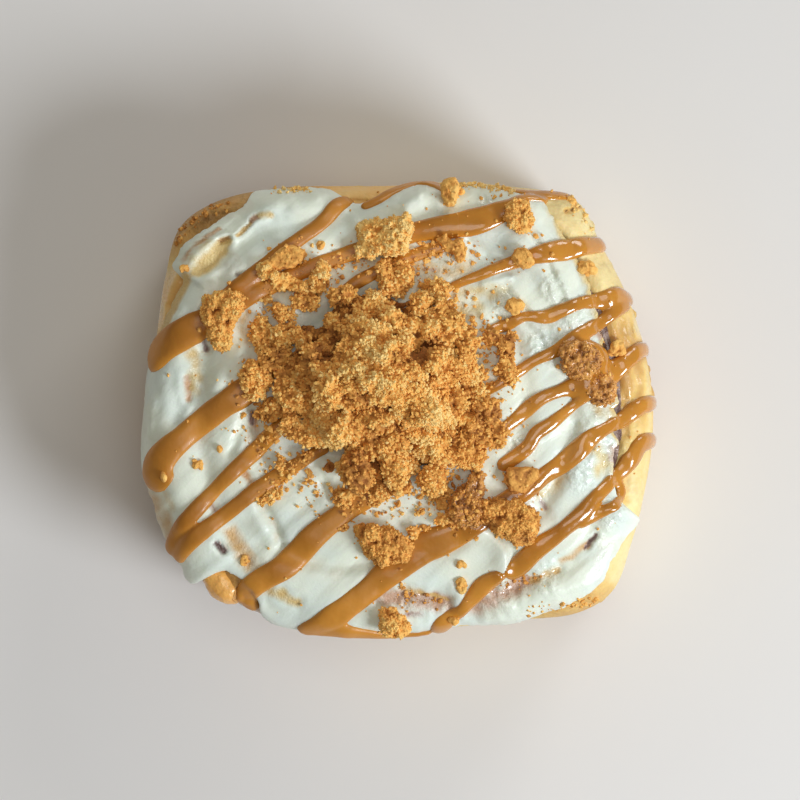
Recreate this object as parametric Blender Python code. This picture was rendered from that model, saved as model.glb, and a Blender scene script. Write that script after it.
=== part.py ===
"""An iced cinnamon roll: a rolled strip of dough with its filling, icing, caramel and biscuit crumbs.

One pull-apart roll, about 110 mm wide. The strip of dough is wound into a rounded square, and the filling is a
ribbon between its turns. Icing lies on top, with thick caramel drizzle on it, a heap of crumbs in the middle and
broken pieces of biscuit round the heap. All sizes are in millimetres until a mesh is finished.
"""

import math
import random

import bmesh
import bpy
from mathutils import Matrix, Vector, noise

MM = 0.001

# The roll, measured from the middle of its swirl
SWIRL_CENTRE = Vector((3.5, 4.0))
MEAN_RADIUS = 54.0
RIM = [
    (0, 50.3), (12, 49.4), (25, 49.2), (38, 50.0), (48, 52.6), (55, 51.0), (65, 47.5), (80, 44.7),
    (97, 43.6), (112, 46.6), (126, 52.5), (139, 58.6), (147, 60.0), (156, 58.6), (170, 56.8), (184, 57.6),
    (196, 60.3), (208, 62.4), (219, 63.0), (231, 60.1), (245, 56.6), (260, 53.3), (278, 52.0), (294, 54.6),
    (306, 59.6), (314, 60.6), (324, 56.9), (338, 53.2),
]
HEIGHT = 43.0
DOME_FALL = 3.5
SHOULDER = 8.0
WALL_TUCK = 1.6
FOOT = 3.5
UNEVEN = 0.9
UNEVEN_SPAN = 70.0

# Rings of the smooth body that the toppings are fitted to: shares of the rim's radius, then insets from the rim
FITTED_SHARES = (0.15, 0.3, 0.45, 0.6, 0.73)
FITTED_INSETS = (SHOULDER, 5.5, 3.5, 2.0, 0.9, 0.2, 0.0, -2.5, -6.0)

# The strip of dough and the filling between its turns
TURNS = 4.6
TAIL_BEARING = 228.0
TAIL_THICK = 2.2
TAIL_TAPER = 0.15
TAIL_NOTCH = 0.05
OUTER_LAYER = 8.6
LAYER = 10.5
CORE_CURL = 0.12
CORE_RADIUS = 1.5
GROOVE_DEPTH = 2.2
GROOVE_HALF = 4.0
FILLING_THICK = 1.0
GAP = 0.3
SECTIONS_PER_TURN = 40
TOP_POINTS = 6

# The icing: thickness, and how far its edge stops short of the rim at each bearing (below 0: hangs over it)
ICING_THICK = 2.6
ICING_GROOVE = 1.7
ICING_EDGE_THICK = 1.2
ICING_SWEEP = 0.8
ICING_SWEEP_SPAN = 11.0
ICING_KEPT = 0.58
ICING_TURNS = 4.0
ICING_SECTIONS = 52
ICING_EDGE = [
    (0, 8.0), (14, 9.2), (36, 7.4), (47, 7.2), (54, 4.0), (64, 2.8), (78, 2.4), (86, 0.2), (96, 0.4),
    (106, 2.6), (116, 1.6), (124, 0.8), (134, 4.0), (145, 4.6), (154, 2.6), (168, 0.6), (178, -0.7), (190, -0.9),
    (204, -0.6), (212, -0.3), (217, -1.0), (223, 1.0), (229, 5.0), (234, 2.0), (239, -0.7), (246, -0.9), (258, -0.4),
    (270, -0.2), (284, 0.4), (300, 1.0), (312, 4.2), (322, 4.4), (329, 1.4), (336, 8.4), (346, 8.6),
]

# Caramel drizzle: width at the start, the middle and the end, then the way it lies
DRIZZLE_HEIGHT = 0.34
DRIZZLE_STEP = 6.0
STRAND_LEAST = 0.35
STRAND_WIDEST = 5.5
STRAND_BLUNT = 0.32
STRAND_TIP = 0.55
STRAND_SHAPE = ((-1.0, -1.2), (-0.86, 0.45), (-0.42, 0.95), (0.42, 0.95), (0.86, 0.45), (1.0, -1.2))
WALL_RUN = 3.0
DRIZZLE = [
    ((7.5, 2.8, 4.6), [(-52.4, 8.5), (-45, 17), (-33, 22.5), (-15.5, 30.5), (2.5, 37), (21, 41.5), (35, 45.6)]),
    ((3.4, 3.0, 2.2), [(35, 45.4), (29, 45.6), (22, 46)]),
    ((2.4, 3.0, 2.6), [(-36.5, 24.5), (-25, 33), (-11, 43.5)]),
    ((2.2, 2.8, 2.4), [(-8, 41.5), (-2, 45.5), (4.5, 48), (9.5, 45.5), (12, 42.5)]),
    ((1.6, 2.0, 1.8), [(-12, 25), (-3.5, 30), (11.5, 35)]),
    ((2.2, 3.6, 4.6), [(8.5, 25), (20, 28.5), (34.5, 34), (42.4, 34.8)]),
    ((2.4, 3.0, 4.4), [(18, 15), (27, 19.5), (39.5, 22.5), (48.2, 23.6)]),
    ((4.0, 2.6, 2.2), [(48, 22.6), (38, 16), (24.5, 7.5), (17, 3.5)]),
    ((4.4, 2.8, 2.4), [(51.6, 12.6), (44.5, 9), (37, 4), (21, -2.5)]),
    ((2.6, 2.4, 2.2), [(44, 4.5), (37, 0), (27.5, -7), (20, -12.5)]),
    ((4.6, 3.4, 6.6), [(53.4, 1.4), (42, -4.5), (31, -13), (17, -23.5), (-3.5, -35.5), (-19, -46)]),
    ((4.6, 3.4, 2.6), [(53.6, -6.3), (46.5, -14), (32.5, -26), (22, -36)]),
    ((2.6, 2.4, 2.0), [(47, -17), (46, -20.5), (37, -25)]),
    ((2.4, 3.2, 3.4), [(21, -35.5), (14, -41.5), (8, -45.5), (7.2, -47.4)]),
    ((4.0, 3.0, 2.4), [(-18, -46), (-4.5, -47.8), (12, -46.6)]),
    ((4.8, 4.8, 3.6), [(0, -15), (-10.5, -21.5), (-21.5, -29.5), (-31.5, -39.5)]),
    ((2.8, 3.0, 3.4), [(-14.5, -8), (-30.5, -18), (-41.5, -26), (-47.6, -31)]),
    ((2.8, 3.2, 3.2), [(-23.5, -2.5), (-34.5, -11.5), (-44, -22), (-48.6, -30.4)]),
    ((4.6, 5.6, 3.8), [(-28.5, 10), (-37, 2), (-49.5, -8.5), (-53, -16)]),
]

# The heap of crumbs: its own middle, its outline by bearing, and the clumps on it
HEAP_CENTRE = Vector((-5.5, 4.5))
HEAP_OUTLINE = [
    (2, 26.0), (19, 26.0), (30, 25.2), (57, 25.4), (72, 24.6), (85, 26.0), (95, 23.6), (113, 24.2), (131, 24.0),
    (150, 25.0), (172, 27.4), (188, 26.6), (209, 20.7), (230, 16.8), (243, 20.3), (255, 24.6), (268, 26.6),
    (290, 24.6), (301, 27.0), (324, 29.6), (336, 29.2), (349, 29.4),
]
HEAP_HEIGHT = 13.0
HEAP_ROUND = 0.9
HEAP_LUMPS = 4.5
HEAP_LUMP_SPAN = 7.0
HEAP_SECTIONS = 30
HEAP_RINGS = 8
CLUMPS = 34
CLUMP_SIZE = (4.0, 9.0)
CLUMP_POINTS = 14
HEAP_KEPT = 0.72

# Broken pieces of biscuit: where each lies, its length, width and height, and how it is turned
BISCUITS = [
    ((-37.5, 18.5), (9.6, 13.6, 7.5), 8),
    ((-3.5, 35.5), (12.6, 9.6, 7.0), 20),
    ((-25.5, 31.4), (9.0, 5.6, 5.0), 30),
    ((-23.5, 25.6), (10.6, 4.6, 5.0), -25),
    ((-3.5, -29.0), (11.5, 8.0, 6.5), -12),
    ((23.6, -22.8), (12.6, 9.6, 7.5), -15),
    ((14.2, -18.6), (6.4, 9.0, 6.5), 20),
    ((25.6, -14.6), (7.0, 5.4, 5.0), 10),
    ((38.0, 9.0), (9.6, 8.6, 6.0), 35),
    ((43.4, 2.6), (5.6, 5.0, 4.0), 10),
    ((-1.0, -44.6), (6.4, 6.0, 5.0), 0),
    ((10.4, 43.4), (4.7, 6.6, 4.5), 10),
    ((25.0, 41.0), (5.2, 6.6, 5.0), 5),
    ((11.5, 34.5), (6.0, 6.0, 4.5), 0),
    ((26.0, 31.5), (5.0, 5.2, 4.5), 0),
]
BISCUIT_POINTS = 16
BISCUIT_SINK = 0.9

# Small crumbs that are stuck to the icing: where each lies and its size
STUCK_CRUMBS = [
    ((24.0, 21.0), 3.2), ((45.5, 11.0), 3.2), ((-16.5, 33.5), 2.2), ((-38.0, -9.0), 2.2), ((-43.0, -12.2), 2.4),
    ((13.5, -31.5), 2.0), ((13.0, -36.0), 2.4), ((-22.0, -18.0), 2.6), ((43.6, 27.4), 2.4), ((-51.0, 4.0), 2.2),
    ((34.0, 6.0), 2.0), ((9.0, -20.5), 3.0),
]


def smooth(value):
    """A smooth step from 0 to 1."""
    value = min(max(value, 0.0), 1.0)
    return value * value * (3.0 - 2.0 * value)


def mix(first, second, share):
    return first + (second - first) * share


def around(table, bearing):
    """The value at a bearing, on a smooth closed curve through pairs of bearing and value."""
    count = len(table)
    bearing = (bearing - table[0][0]) % 360.0 + table[0][0]
    knots = [(b + 360.0 * turn, v) for turn in (-1, 0, 1) for b, v in table]
    at = max(i for i in range(count, 2 * count) if knots[i][0] <= bearing)
    (b0, v0), (b1, v1), (b2, v2), (b3, v3) = knots[at - 1:at + 3]
    span = b2 - b1
    t = (bearing - b1) / span
    slope_1 = (v2 - v0) / (b2 - b0) * span
    slope_2 = (v3 - v1) / (b3 - b1) * span
    return (
        v1 * (1 + 2 * t) * (1 - t) ** 2
        + slope_1 * t * (1 - t) ** 2
        + v2 * t * t * (3 - 2 * t)
        + slope_2 * t * t * (t - 1)
    )


def through(points, share):
    """A point on a smooth open curve through a list of plan points, at a share of its knots."""
    last = len(points) - 1
    place = min(max(share, 0.0), 1.0) * last
    at = min(int(place), last - 1)
    t = place - at
    p1, p2 = Vector(points[at]), Vector(points[at + 1])
    p0 = Vector(points[at - 1]) if at > 0 else 2 * p1 - p2
    p3 = Vector(points[at + 2]) if at + 2 <= last else 2 * p2 - p1
    return 0.5 * (2 * p1 + (p2 - p0) * t + (2 * p0 - 5 * p1 + 4 * p2 - p3) * t ** 2
                  + (3 * p1 - p0 - 3 * p2 + p3) * t ** 3)


def bearing_of(spot, centre):
    offset = Vector(spot) - centre
    return math.degrees(math.atan2(offset.y, offset.x)) % 360.0, offset.length


def plan(bearing, radius, centre=SWIRL_CENTRE):
    angle = math.radians(bearing)
    return centre + radius * Vector((math.cos(angle), math.sin(angle)))


# ---- the roll's surface -------------------------------------------------------------------------------------


def rim_radius(bearing):
    return around(RIM, bearing)


def dome(spot):
    """Height of the bare roll over a plan point, without its grooves and its shoulder."""
    bearing, radius = bearing_of(spot, SWIRL_CENTRE)
    share = min(radius / rim_radius(bearing), 1.1)
    waves = noise.noise(Vector((spot[0], spot[1], 0.0)) / UNEVEN_SPAN)
    return HEIGHT - DOME_FALL * share ** 2 + 2 * UNEVEN * waves


def shoulder_drop(inset):
    """How far the top has rounded down at a distance inside the rim."""
    inset = min(max(inset, 0.0), SHOULDER)
    return SHOULDER - math.sqrt(SHOULDER ** 2 - (SHOULDER - inset) ** 2)


def wall_inset(height, wall_top, tuck=WALL_TUCK):
    """How far the side leans in at a height: it bulges at the top and tucks in at the foot."""
    return tuck * (1.0 - height / wall_top) ** 2


def surface(bearing, inset, lift):
    """A point lifted off the roll's skin, and the skin's normal; below 0 the inset runs down the side."""
    rim = rim_radius(bearing)
    outward = plan(bearing, 1.0, Vector((0.0, 0.0)))
    spot = plan(bearing, rim - max(inset, 0.0))
    top = dome(spot)
    if inset >= 0.0:
        lean = max(1.0 - inset / SHOULDER, 0.0)
        height = top - shoulder_drop(inset)
    else:
        lean = 1.0
        wall_top = top - SHOULDER
        height = wall_top + inset * WALL_RUN
        spot = plan(bearing, rim - wall_inset(height, wall_top))
    normal = Vector((outward.x * lean, outward.y * lean, math.sqrt(1.0 - lean * lean)))
    return Vector((spot.x, spot.y, height)) + normal * lift, normal


# ---- the swirl ----------------------------------------------------------------------------------------------


def layer_thickness(turn):
    """Thickness of the strip at a number of turns in from its tail, which is pressed thin."""
    tail = TAIL_THICK * smooth((turn + TAIL_NOTCH) / TAIL_NOTCH)
    body = (OUTER_LAYER - TAIL_THICK) * smooth(turn / TAIL_TAPER)
    inner = (LAYER - OUTER_LAYER) * min(max(turn, 0.0), 1.0)
    return tail + body + inner


def turn_radius(turn):
    """Radius of the strip's outer face: the layers outside it, taken off a rim that turns round further in."""
    inset = 0.0
    outer = turn - 1.0
    while outer > -TAIL_NOTCH:
        inset += layer_thickness(outer)
        outer -= 1.0
    share = max(1.0 - inset / MEAN_RADIUS, 0.0)
    return share * mix(MEAN_RADIUS, rim_radius(turn_bearing(turn)), share)


def turn_bearing(turn):
    return TAIL_BEARING + 360.0 * turn


def groove(distance, depth):
    """Depth of the groove over the filling at a distance from it."""
    return depth * max(1.0 - distance / GROOVE_HALF, 0.0) ** 2


def strip_section(turn):
    """Outline of the dough strip where it is cut at a turn, from the foot of its inner face and round."""
    bearing = turn_bearing(turn)
    rim = rim_radius(bearing)
    clear = FILLING_THICK / 2 + GAP
    bare = 1.0 - smooth((turn - 1.0 + TAIL_NOTCH) / TAIL_NOTCH)
    outer = turn_radius(turn) - clear * (1.0 - bare)
    inner = turn_radius(turn + 1.0) + clear
    curl = smooth((turn - TURNS + 1.0) / CORE_CURL)
    inner = mix(inner, CORE_RADIUS, curl)
    section = [plan(bearing, inner).to_3d()]
    for step in range(TOP_POINTS):
        share = step / (TOP_POINTS - 1)
        radius = outer - (outer - inner) * mix(1.0 - share, (1.0 - share) ** 2, bare)
        near = radius - inner if turn < 1.0 else min(radius - inner, outer - radius)
        spot = plan(bearing, radius)
        drop = groove(near, GROOVE_DEPTH) * (1.0 - curl) + shoulder_drop(rim - radius)
        section.append(Vector((spot.x, spot.y, dome(spot) - drop)))
    wall_top = section[-1].z
    tuck = bare * min(WALL_TUCK, 0.2 * (outer - inner))
    foot = bare * min(FOOT, 0.3 * (outer - inner))
    for height in (0.6 * wall_top, FOOT):
        spot = plan(bearing, outer - wall_inset(height, wall_top, tuck))
        section.append(Vector((spot.x, spot.y, height)))
    section.append(plan(bearing, outer - tuck - foot).to_3d())
    return section


def filling_section(turn):
    """Outline of the filling between a turn of the strip and the one outside it."""
    bearing = turn_bearing(turn)
    radius = turn_radius(turn)
    outer = radius + FILLING_THICK / 2
    inner = radius - FILLING_THICK / 2
    past_core = (turn - TURNS) / CORE_CURL
    if past_core > 0.0:
        outer = mix(outer, CORE_RADIUS - GAP, smooth(past_core))
        inner = CORE_RADIUS / 3
    spot = plan(bearing, radius)
    top = dome(spot) - GROOVE_DEPTH - shoulder_drop(rim_radius(bearing) - radius) - GAP / 3
    return [
        plan(bearing, inner).to_3d() + Vector((0, 0, GAP)),
        plan(bearing, inner).to_3d() + Vector((0, 0, top)),
        plan(bearing, outer).to_3d() + Vector((0, 0, top)),
        plan(bearing, outer).to_3d() + Vector((0, 0, GAP)),
    ]


# ---- meshes -------------------------------------------------------------------------------------------------


def skin(rings):
    """A closed body through equal rings of points, with its two ends capped."""
    mesh = bmesh.new()
    loops = [[mesh.verts.new(point) for point in ring] for ring in rings]
    for loop, following in zip(loops, loops[1:]):
        for i in range(len(loop)):
            after = (i + 1) % len(loop)
            mesh.faces.new((loop[i], loop[after], following[after], following[i]))
    mesh.faces.new(loops[0])
    mesh.faces.new(loops[-1])
    return close_mesh(mesh)


def close_mesh(mesh):
    """Split the faces into triangles, turned outwards."""
    bmesh.ops.triangulate(mesh, faces=mesh.faces, ngon_method="EAR_CLIP")
    bmesh.ops.recalc_face_normals(mesh, faces=mesh.faces)
    return mesh


def stacked(rings, centre_top, centre_bottom):
    """A closed body from rings that run outwards over the top and down, with a point in the middle of each end."""
    mesh = bmesh.new()
    loops = [[mesh.verts.new(point) for point in ring] for ring in rings]
    for loop, following in zip(loops, loops[1:]):
        for i in range(len(loop)):
            after = (i + 1) % len(loop)
            mesh.faces.new((loop[i], loop[after], following[after], following[i]))
    for loop, centre in ((loops[0], centre_top), (loops[-1], centre_bottom)):
        middle = mesh.verts.new(centre)
        for i in range(len(loop)):
            mesh.faces.new((loop[i - 1], loop[i], middle))
    return close_mesh(mesh)


def roll_body(grow):
    """The whole roll as one smooth body, grown by a distance: what lies on the roll is fitted to it."""
    bearings = [turn_bearing(i / SECTIONS_PER_TURN) for i in range(SECTIONS_PER_TURN)]
    rings = []
    for share in FITTED_SHARES:
        rings.append([surface(b, rim_radius(b) * (1.0 - share), grow)[0] for b in bearings])
    for inset in FITTED_INSETS:
        rings.append([surface(b, inset, grow)[0] for b in bearings])
    rings.append([point.xy.to_3d() for point in rings[-1]])
    middle = Vector((SWIRL_CENTRE.x, SWIRL_CENTRE.y, dome(SWIRL_CENTRE) + grow))
    return stacked(rings, middle, SWIRL_CENTRE.to_3d())


def icing_point(turn, share, lift):
    """A point of the icing's top over a turn of the strip, from that turn's inner groove out to its outer one."""
    bearing = turn_bearing(turn)
    rim = rim_radius(bearing)
    inner = rim - turn_radius(turn + 1.0)
    closing = smooth((turn - ICING_TURNS + 1.0))
    if turn < 1.0:
        edge = around(ICING_EDGE, bearing)
        inner = max(inner, edge + 2.0)
        inset = mix(inner, edge, share)
        near = inner - inset
        thick = mix(ICING_THICK, ICING_EDGE_THICK, share ** 4)
    else:
        outer = rim - turn_radius(turn)
        inner = mix(inner, outer, closing)
        inset = mix(inner, outer, share)
        near = min(inner - inset, inset - outer)
        thick = ICING_THICK
    point, normal = surface(bearing, inset, thick + lift)
    point.z += ICING_SWEEP * max(noise.noise(point / ICING_SWEEP_SPAN), 0.0)
    return point - Vector((0, 0, groove(near, ICING_GROOVE) * (1.0 - closing)))


def icing_body(grow):
    """The sheet of icing, which follows the swirl and reaches down into the roll, before it is fitted."""
    across = (0.0, 0.3, 0.7, 1.0)
    total = round(ICING_TURNS * ICING_SECTIONS)
    mesh = bmesh.new()
    tops, lows, sheet = {}, [], {}
    for i in range(total + 1):
        turn = i / ICING_SECTIONS
        for n, share in enumerate(across):
            if n == len(across) - 1 and i >= ICING_SECTIONS:
                sheet[i, n] = sheet[i - ICING_SECTIONS, 0]
            elif i == total:
                sheet[i, n] = sheet[i - ICING_SECTIONS, 0]
            else:
                sheet[i, n] = mesh.verts.new(icing_point(turn, share, grow))
    for i in range(total):
        for n in range(len(across) - 1):
            corners = [sheet[i, n], sheet[i, n + 1], sheet[i + 1, n + 1], sheet[i + 1, n]]
            corners = [v for j, v in enumerate(corners) if v is not corners[j - 1]]
            if len(corners) > 2:
                mesh.faces.new(corners)
    hub = mesh.verts.new((SWIRL_CENTRE.x, SWIRL_CENTRE.y, dome(SWIRL_CENTRE) + ICING_THICK + grow))
    for i in range(total - ICING_SECTIONS, total):
        mesh.faces.new((sheet[i, 0], sheet[i + 1, 0], hub))
    lower = bmesh.ops.extrude_face_region(mesh, geom=mesh.faces[:])
    depth = ICING_THICK + ICING_GROOVE + 1.5
    for vert in [g for g in lower["geom"] if isinstance(g, bmesh.types.BMVert)]:
        offset = vert.co.xy - SWIRL_CENTRE
        vert.co.xy = SWIRL_CENTRE + offset * (1.0 - depth / MEAN_RADIUS)
        vert.co.z -= depth
    return close_mesh(mesh)


def topping_spot(spot):
    """The icing's surface (or the bare dough's, past the icing's edge) at a plan point, and its normal."""
    bearing, radius = bearing_of(spot, SWIRL_CENTRE)
    inset = rim_radius(bearing) - radius
    cover = smooth((inset - around(ICING_EDGE, bearing)) / 2.0)
    return surface(bearing, inset, mix(GAP, ICING_THICK - ICING_GROOVE / 3, cover))


def strand_body(widths, points, grow):
    """One strand of caramel: a low round ridge along its way, with blunt round ends."""
    fine = [through(points, i / 60) for i in range(61)]
    placed = [topping_spot(p) for p in fine]
    lengths = [0.0]
    for (before, _), (after, _) in zip(placed, placed[1:]):
        lengths.append(lengths[-1] + (after - before).length)
    count = max(round(lengths[-1] / DRIZZLE_STEP), 2) + 1
    stations = [lengths[-1] * i / count for i in range(count + 1)]
    blunt = STRAND_BLUNT * min(widths)
    stations = [0.0, blunt] + stations[1:-1] + [lengths[-1] - blunt, lengths[-1]]
    rings = []
    for station in stations:
        share = next((i + (station - lengths[i]) / max(lengths[i + 1] - lengths[i], 1e-9)
                      for i in range(60) if station <= lengths[i + 1] + 1e-6), 60.0) / 60.0
        spot, normal = topping_spot(through(points, share))
        ahead = topping_spot(through(points, share + 0.01))[0] - topping_spot(through(points, share - 0.01))[0]
        side = ahead.cross(normal).normalized()
        width = mix(widths[0], widths[1], smooth(2 * share)) if share < 0.5 else \
            mix(widths[1], widths[2], smooth(2 * share - 1))
        ends = min(station, lengths[-1] - station) / blunt
        full = STRAND_TIP if ends < 0.5 else 1.0
        half = width / 2 * full + grow
        high = STRAND_LEAST + DRIZZLE_HEIGHT * min(width, STRAND_WIDEST) * full + grow
        rings.append([spot + side * half * x + normal * (high * y if y > 0 else y) for x, y in STRAND_SHAPE])
    return skin(rings)


def lump(size, seed, points=BISCUIT_POINTS):
    """An uneven broken lump with flat faces: the hull of points scattered over a rounded block."""
    draw = random.Random(seed)
    mesh = bmesh.new()
    for i in range(points):
        high = 1.0 - (2 * i + 1) / points
        turn = i * math.pi * (3.0 - math.sqrt(5.0))
        flat = math.sqrt(1.0 - high * high)
        direction = Vector((flat * math.cos(turn), flat * math.sin(turn), high))
        block = max(abs(c) for c in direction)
        reach = mix(1.0, 1.0 / block, 0.45) * draw.uniform(0.82, 1.04)
        mesh.verts.new(Vector(c * s / 2 for c, s in zip(direction * reach, size)))
    hull = bmesh.ops.convex_hull(mesh, input=mesh.verts)
    bmesh.ops.delete(mesh, geom=[v for v in hull["geom_interior"] if v.is_valid], context="VERTS")
    return close_mesh(mesh)


def set_down(mesh, spot, turned, sink):
    """Stand a lump on the topping's surface, square to it, sunk in a little."""
    place, normal = topping_spot(spot)
    lowest = min(v.co.z for v in mesh.verts)
    tilt = Vector((0, 0, 1)).rotation_difference(normal).to_matrix()
    spin = Matrix.Rotation(math.radians(turned), 3, "Z")
    for vert in mesh.verts:
        vert.co = place + tilt @ (spin @ (vert.co - Vector((0, 0, lowest + sink))))
    return mesh


def biscuit_body(number, grow=0.0):
    """One broken piece of biscuit, grown where it is used to keep its neighbour clear."""
    spot, size, turned = BISCUITS[number]
    mesh = lump([s + 2.4 * grow for s in size], seed=40 + number)
    return set_down(mesh, spot, turned, BISCUIT_SINK + 1.2 * grow)


def strands_near(spot, reach):
    """The strands of caramel that pass within reach of a spot, grown by the gap that is kept to them."""
    passing = []
    for widths, points in DRIZZLE:
        if min((through(points, i / 40) - Vector(spot)).length for i in range(41)) < reach:
            passing.append(strand_body(widths, points, GAP * 1.5))
    return passing


def biscuits_near(spot, reach, before=len(BISCUITS)):
    """The pieces of biscuit within reach of a spot that come before a number, grown by their gap."""
    near = [i for i in range(before) if (Vector(BISCUITS[i][0]) - Vector(spot)).length < reach]
    return [biscuit_body(i, GAP) for i in near]


def heap_surface(bearing, share):
    """A point on the heap's core, from its middle out to its edge."""
    radius = around(HEAP_OUTLINE, bearing)
    spot = plan(bearing, (radius - 2.5) * share, HEAP_CENTRE)
    rise = HEAP_HEIGHT * (0.5 + 0.5 * math.cos(math.pi * share)) ** HEAP_ROUND
    rise += HEAP_LUMPS * (1.0 - share ** 4) * noise.noise(Vector((spot.x, spot.y, 0.0)) / HEAP_LUMP_SPAN)
    return topping_spot(spot)[0] + Vector((0, 0, rise + 0.6))


def heap_core():
    bearings = [360.0 * i / HEAP_SECTIONS for i in range(HEAP_SECTIONS)]
    rings = [[heap_surface(b, (r + 1) / HEAP_RINGS) for b in bearings] for r in range(HEAP_RINGS)]
    rings.append([point - Vector((0, 0, 3.0)) for point in rings[-1]])
    middle = heap_surface(0.0, 0.0)
    return stacked(rings, middle, middle - Vector((0, 0, HEAP_HEIGHT + 3.0)))


def heap_clumps():
    """Clumps of crumb over the heap: the larger ones round its foot, turned every way."""
    draw = random.Random(7)
    clumps = []
    for i in range(CLUMPS):
        share = math.sqrt((i + 0.5) / CLUMPS)
        bearing = i * 137.508
        spot = heap_surface(bearing, share)
        across = mix(*CLUMP_SIZE, draw.random() ** 1.5)
        size = [across * draw.uniform(0.75, 1.2) for _ in range(3)]
        mesh = lump(size, seed=100 + i, points=CLUMP_POINTS)
        turned = Matrix.Rotation(draw.uniform(0, math.tau), 3, Vector([draw.uniform(-1, 1) for _ in range(3)]))
        for vert in mesh.verts:
            vert.co = spot + turned @ vert.co
        clumps.append(mesh)
    return clumps


# ---- objects ------------------------------------------------------------------------------------------------


def add_object(name, mesh, material=None):
    """A named object from a finished mesh, with its sizes brought to metres."""
    data = bpy.data.meshes.new(name)
    bmesh.ops.scale(mesh, vec=(MM, MM, MM), verts=mesh.verts)
    mesh.to_mesh(data)
    mesh.free()
    piece = bpy.data.objects.new(name, data)
    bpy.context.scene.collection.objects.link(piece)
    if material:
        data.materials.append(material)
    return piece


def combine(piece, meshes, operation):
    """Join meshes to a piece or cut them from it with one Boolean on a collection, applied."""
    group = bpy.data.collections.new("group")
    bpy.context.scene.collection.children.link(group)
    for i, mesh in enumerate(meshes):
        helper = add_object(f"helper_{i}", mesh)
        helper.hide_render = True
        helper.display_type = "WIRE"
        bpy.context.scene.collection.objects.unlink(helper)
        group.objects.link(helper)
    boolean = piece.modifiers.new("combine", "BOOLEAN")
    boolean.operation = operation
    boolean.operand_type = "COLLECTION"
    boolean.collection = group
    boolean.solver = "EXACT"
    settle(piece)
    for helper in list(group.objects):
        bpy.data.objects.remove(helper)
    bpy.data.collections.remove(group)


def lighten(piece, share):
    """Merge small faces until a share of them is left."""
    fewer = piece.modifiers.new("fewer", "DECIMATE")
    fewer.ratio = share
    settle(piece)


def settle(piece):
    """Apply a piece's modifiers."""
    bpy.context.view_layer.update()
    evaluated = piece.evaluated_get(bpy.context.evaluated_depsgraph_get())
    result = bpy.data.meshes.new_from_object(evaluated)
    piece.modifiers.clear()
    piece.data = result


def tidy(piece):
    """Keep the largest body of a cut piece, merge its doubles and split its faces into triangles."""
    mesh = bmesh.new()
    mesh.from_mesh(piece.data)
    bmesh.ops.remove_doubles(mesh, verts=mesh.verts, dist=0.02 * MM)
    bmesh.ops.dissolve_degenerate(mesh, edges=mesh.edges, dist=0.02 * MM)
    waiting = set(mesh.verts)
    bodies = []
    while waiting:
        body, front = set(), [waiting.pop()]
        while front:
            vert = front.pop()
            body.add(vert)
            near = {edge.other_vert(vert) for edge in vert.link_edges} & waiting
            waiting -= near
            front.extend(near)
        bodies.append(body)
    bodies.sort(key=len)
    bmesh.ops.delete(mesh, geom=[v for body in bodies[:-1] for v in body], context="VERTS")
    close_mesh(mesh)
    mesh.to_mesh(piece.data)
    mesh.free()


def make_material(name, colour, roughness):
    material = bpy.data.materials.new(name)
    material.use_nodes = True
    shader = material.node_tree.nodes["Principled BSDF"]
    shader.inputs["Base Color"].default_value = (*colour, 1.0)
    shader.inputs["Roughness"].default_value = roughness
    shader.inputs["Metallic"].default_value = 0.0
    return material


def build():
    for old in list(bpy.data.objects):
        bpy.data.objects.remove(old)
    dough = make_material("dough", (0.72, 0.52, 0.22), 0.7)
    filling = make_material("cinnamon", (0.16, 0.06, 0.03), 0.45)
    icing = make_material("icing", (0.82, 0.85, 0.78), 0.35)
    biscuit = make_material("biscuit", (0.45, 0.2, 0.05), 0.9)

    sections = round(TURNS * SECTIONS_PER_TURN)
    add_object("dough_roll", skin([strip_section(i / SECTIONS_PER_TURN) for i in range(sections)]), dough)
    ribbon_end = TURNS + CORE_CURL
    ribbon = range(SECTIONS_PER_TURN, round(ribbon_end * SECTIONS_PER_TURN))
    add_object("cinnamon_filling", skin([filling_section(i / SECTIONS_PER_TURN) for i in ribbon]), filling)

    layer = add_object("icing_layer", icing_body(0.0), icing)
    strands = [strand_body(widths, points, 0.0) for widths, points in DRIZZLE]
    stuck = []
    for i, (spot, size) in enumerate(STUCK_CRUMBS):
        stuck.append(set_down(lump([size, size * 0.85, size * 0.7], 70 + i, points=12), spot, 40 * i, 0.25 * size))
    combine(layer, strands + stuck, "UNION")
    lighten(layer, ICING_KEPT)
    combine(layer, [roll_body(GAP + 0.1)], "DIFFERENCE")
    tidy(layer)

    heap = add_object("crumb_heap", heap_core(), biscuit)
    combine(heap, heap_clumps(), "UNION")
    lighten(heap, HEAP_KEPT)
    above = [roll_body(ICING_THICK + ICING_SWEEP / 2 + GAP)]
    combine(heap, above + strands_near(HEAP_CENTRE, 40.0) + biscuits_near(HEAP_CENTRE, 40.0), "DIFFERENCE")
    tidy(heap)

    for number, (spot, size, turned) in enumerate(BISCUITS):
        piece = add_object(f"biscuit_piece_{number + 1}", biscuit_body(number), biscuit)
        under = [icing_body(GAP * 1.5), roll_body(GAP)]
        combine(piece, under + strands_near(spot, 9.0) + biscuits_near(spot, 15.0, number), "DIFFERENCE")
        tidy(piece)

    pieces = list(bpy.context.scene.objects)
    corners = [vert.co for piece in pieces for vert in piece.data.vertices]
    middle = Vector([(min(c[i] for c in corners) + max(c[i] for c in corners)) / 2 for i in range(2)] + [0.0])
    for piece in pieces:
        piece.data.transform(Matrix.Translation(-middle))
        piece.data.update()


build()
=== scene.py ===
"""An iced cinnamon roll: soft rolled dough, dragged icing, caramel drizzle and biscuit crumbs.

The shapes are worked out in millimetres from the drawing's own origin, and each finished mesh is brought
to the frame's metres. A bearing is an angle round the middle of the swirl, in degrees. An inset is a
distance in from the rim; below 0 it runs down the side.
"""

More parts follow.
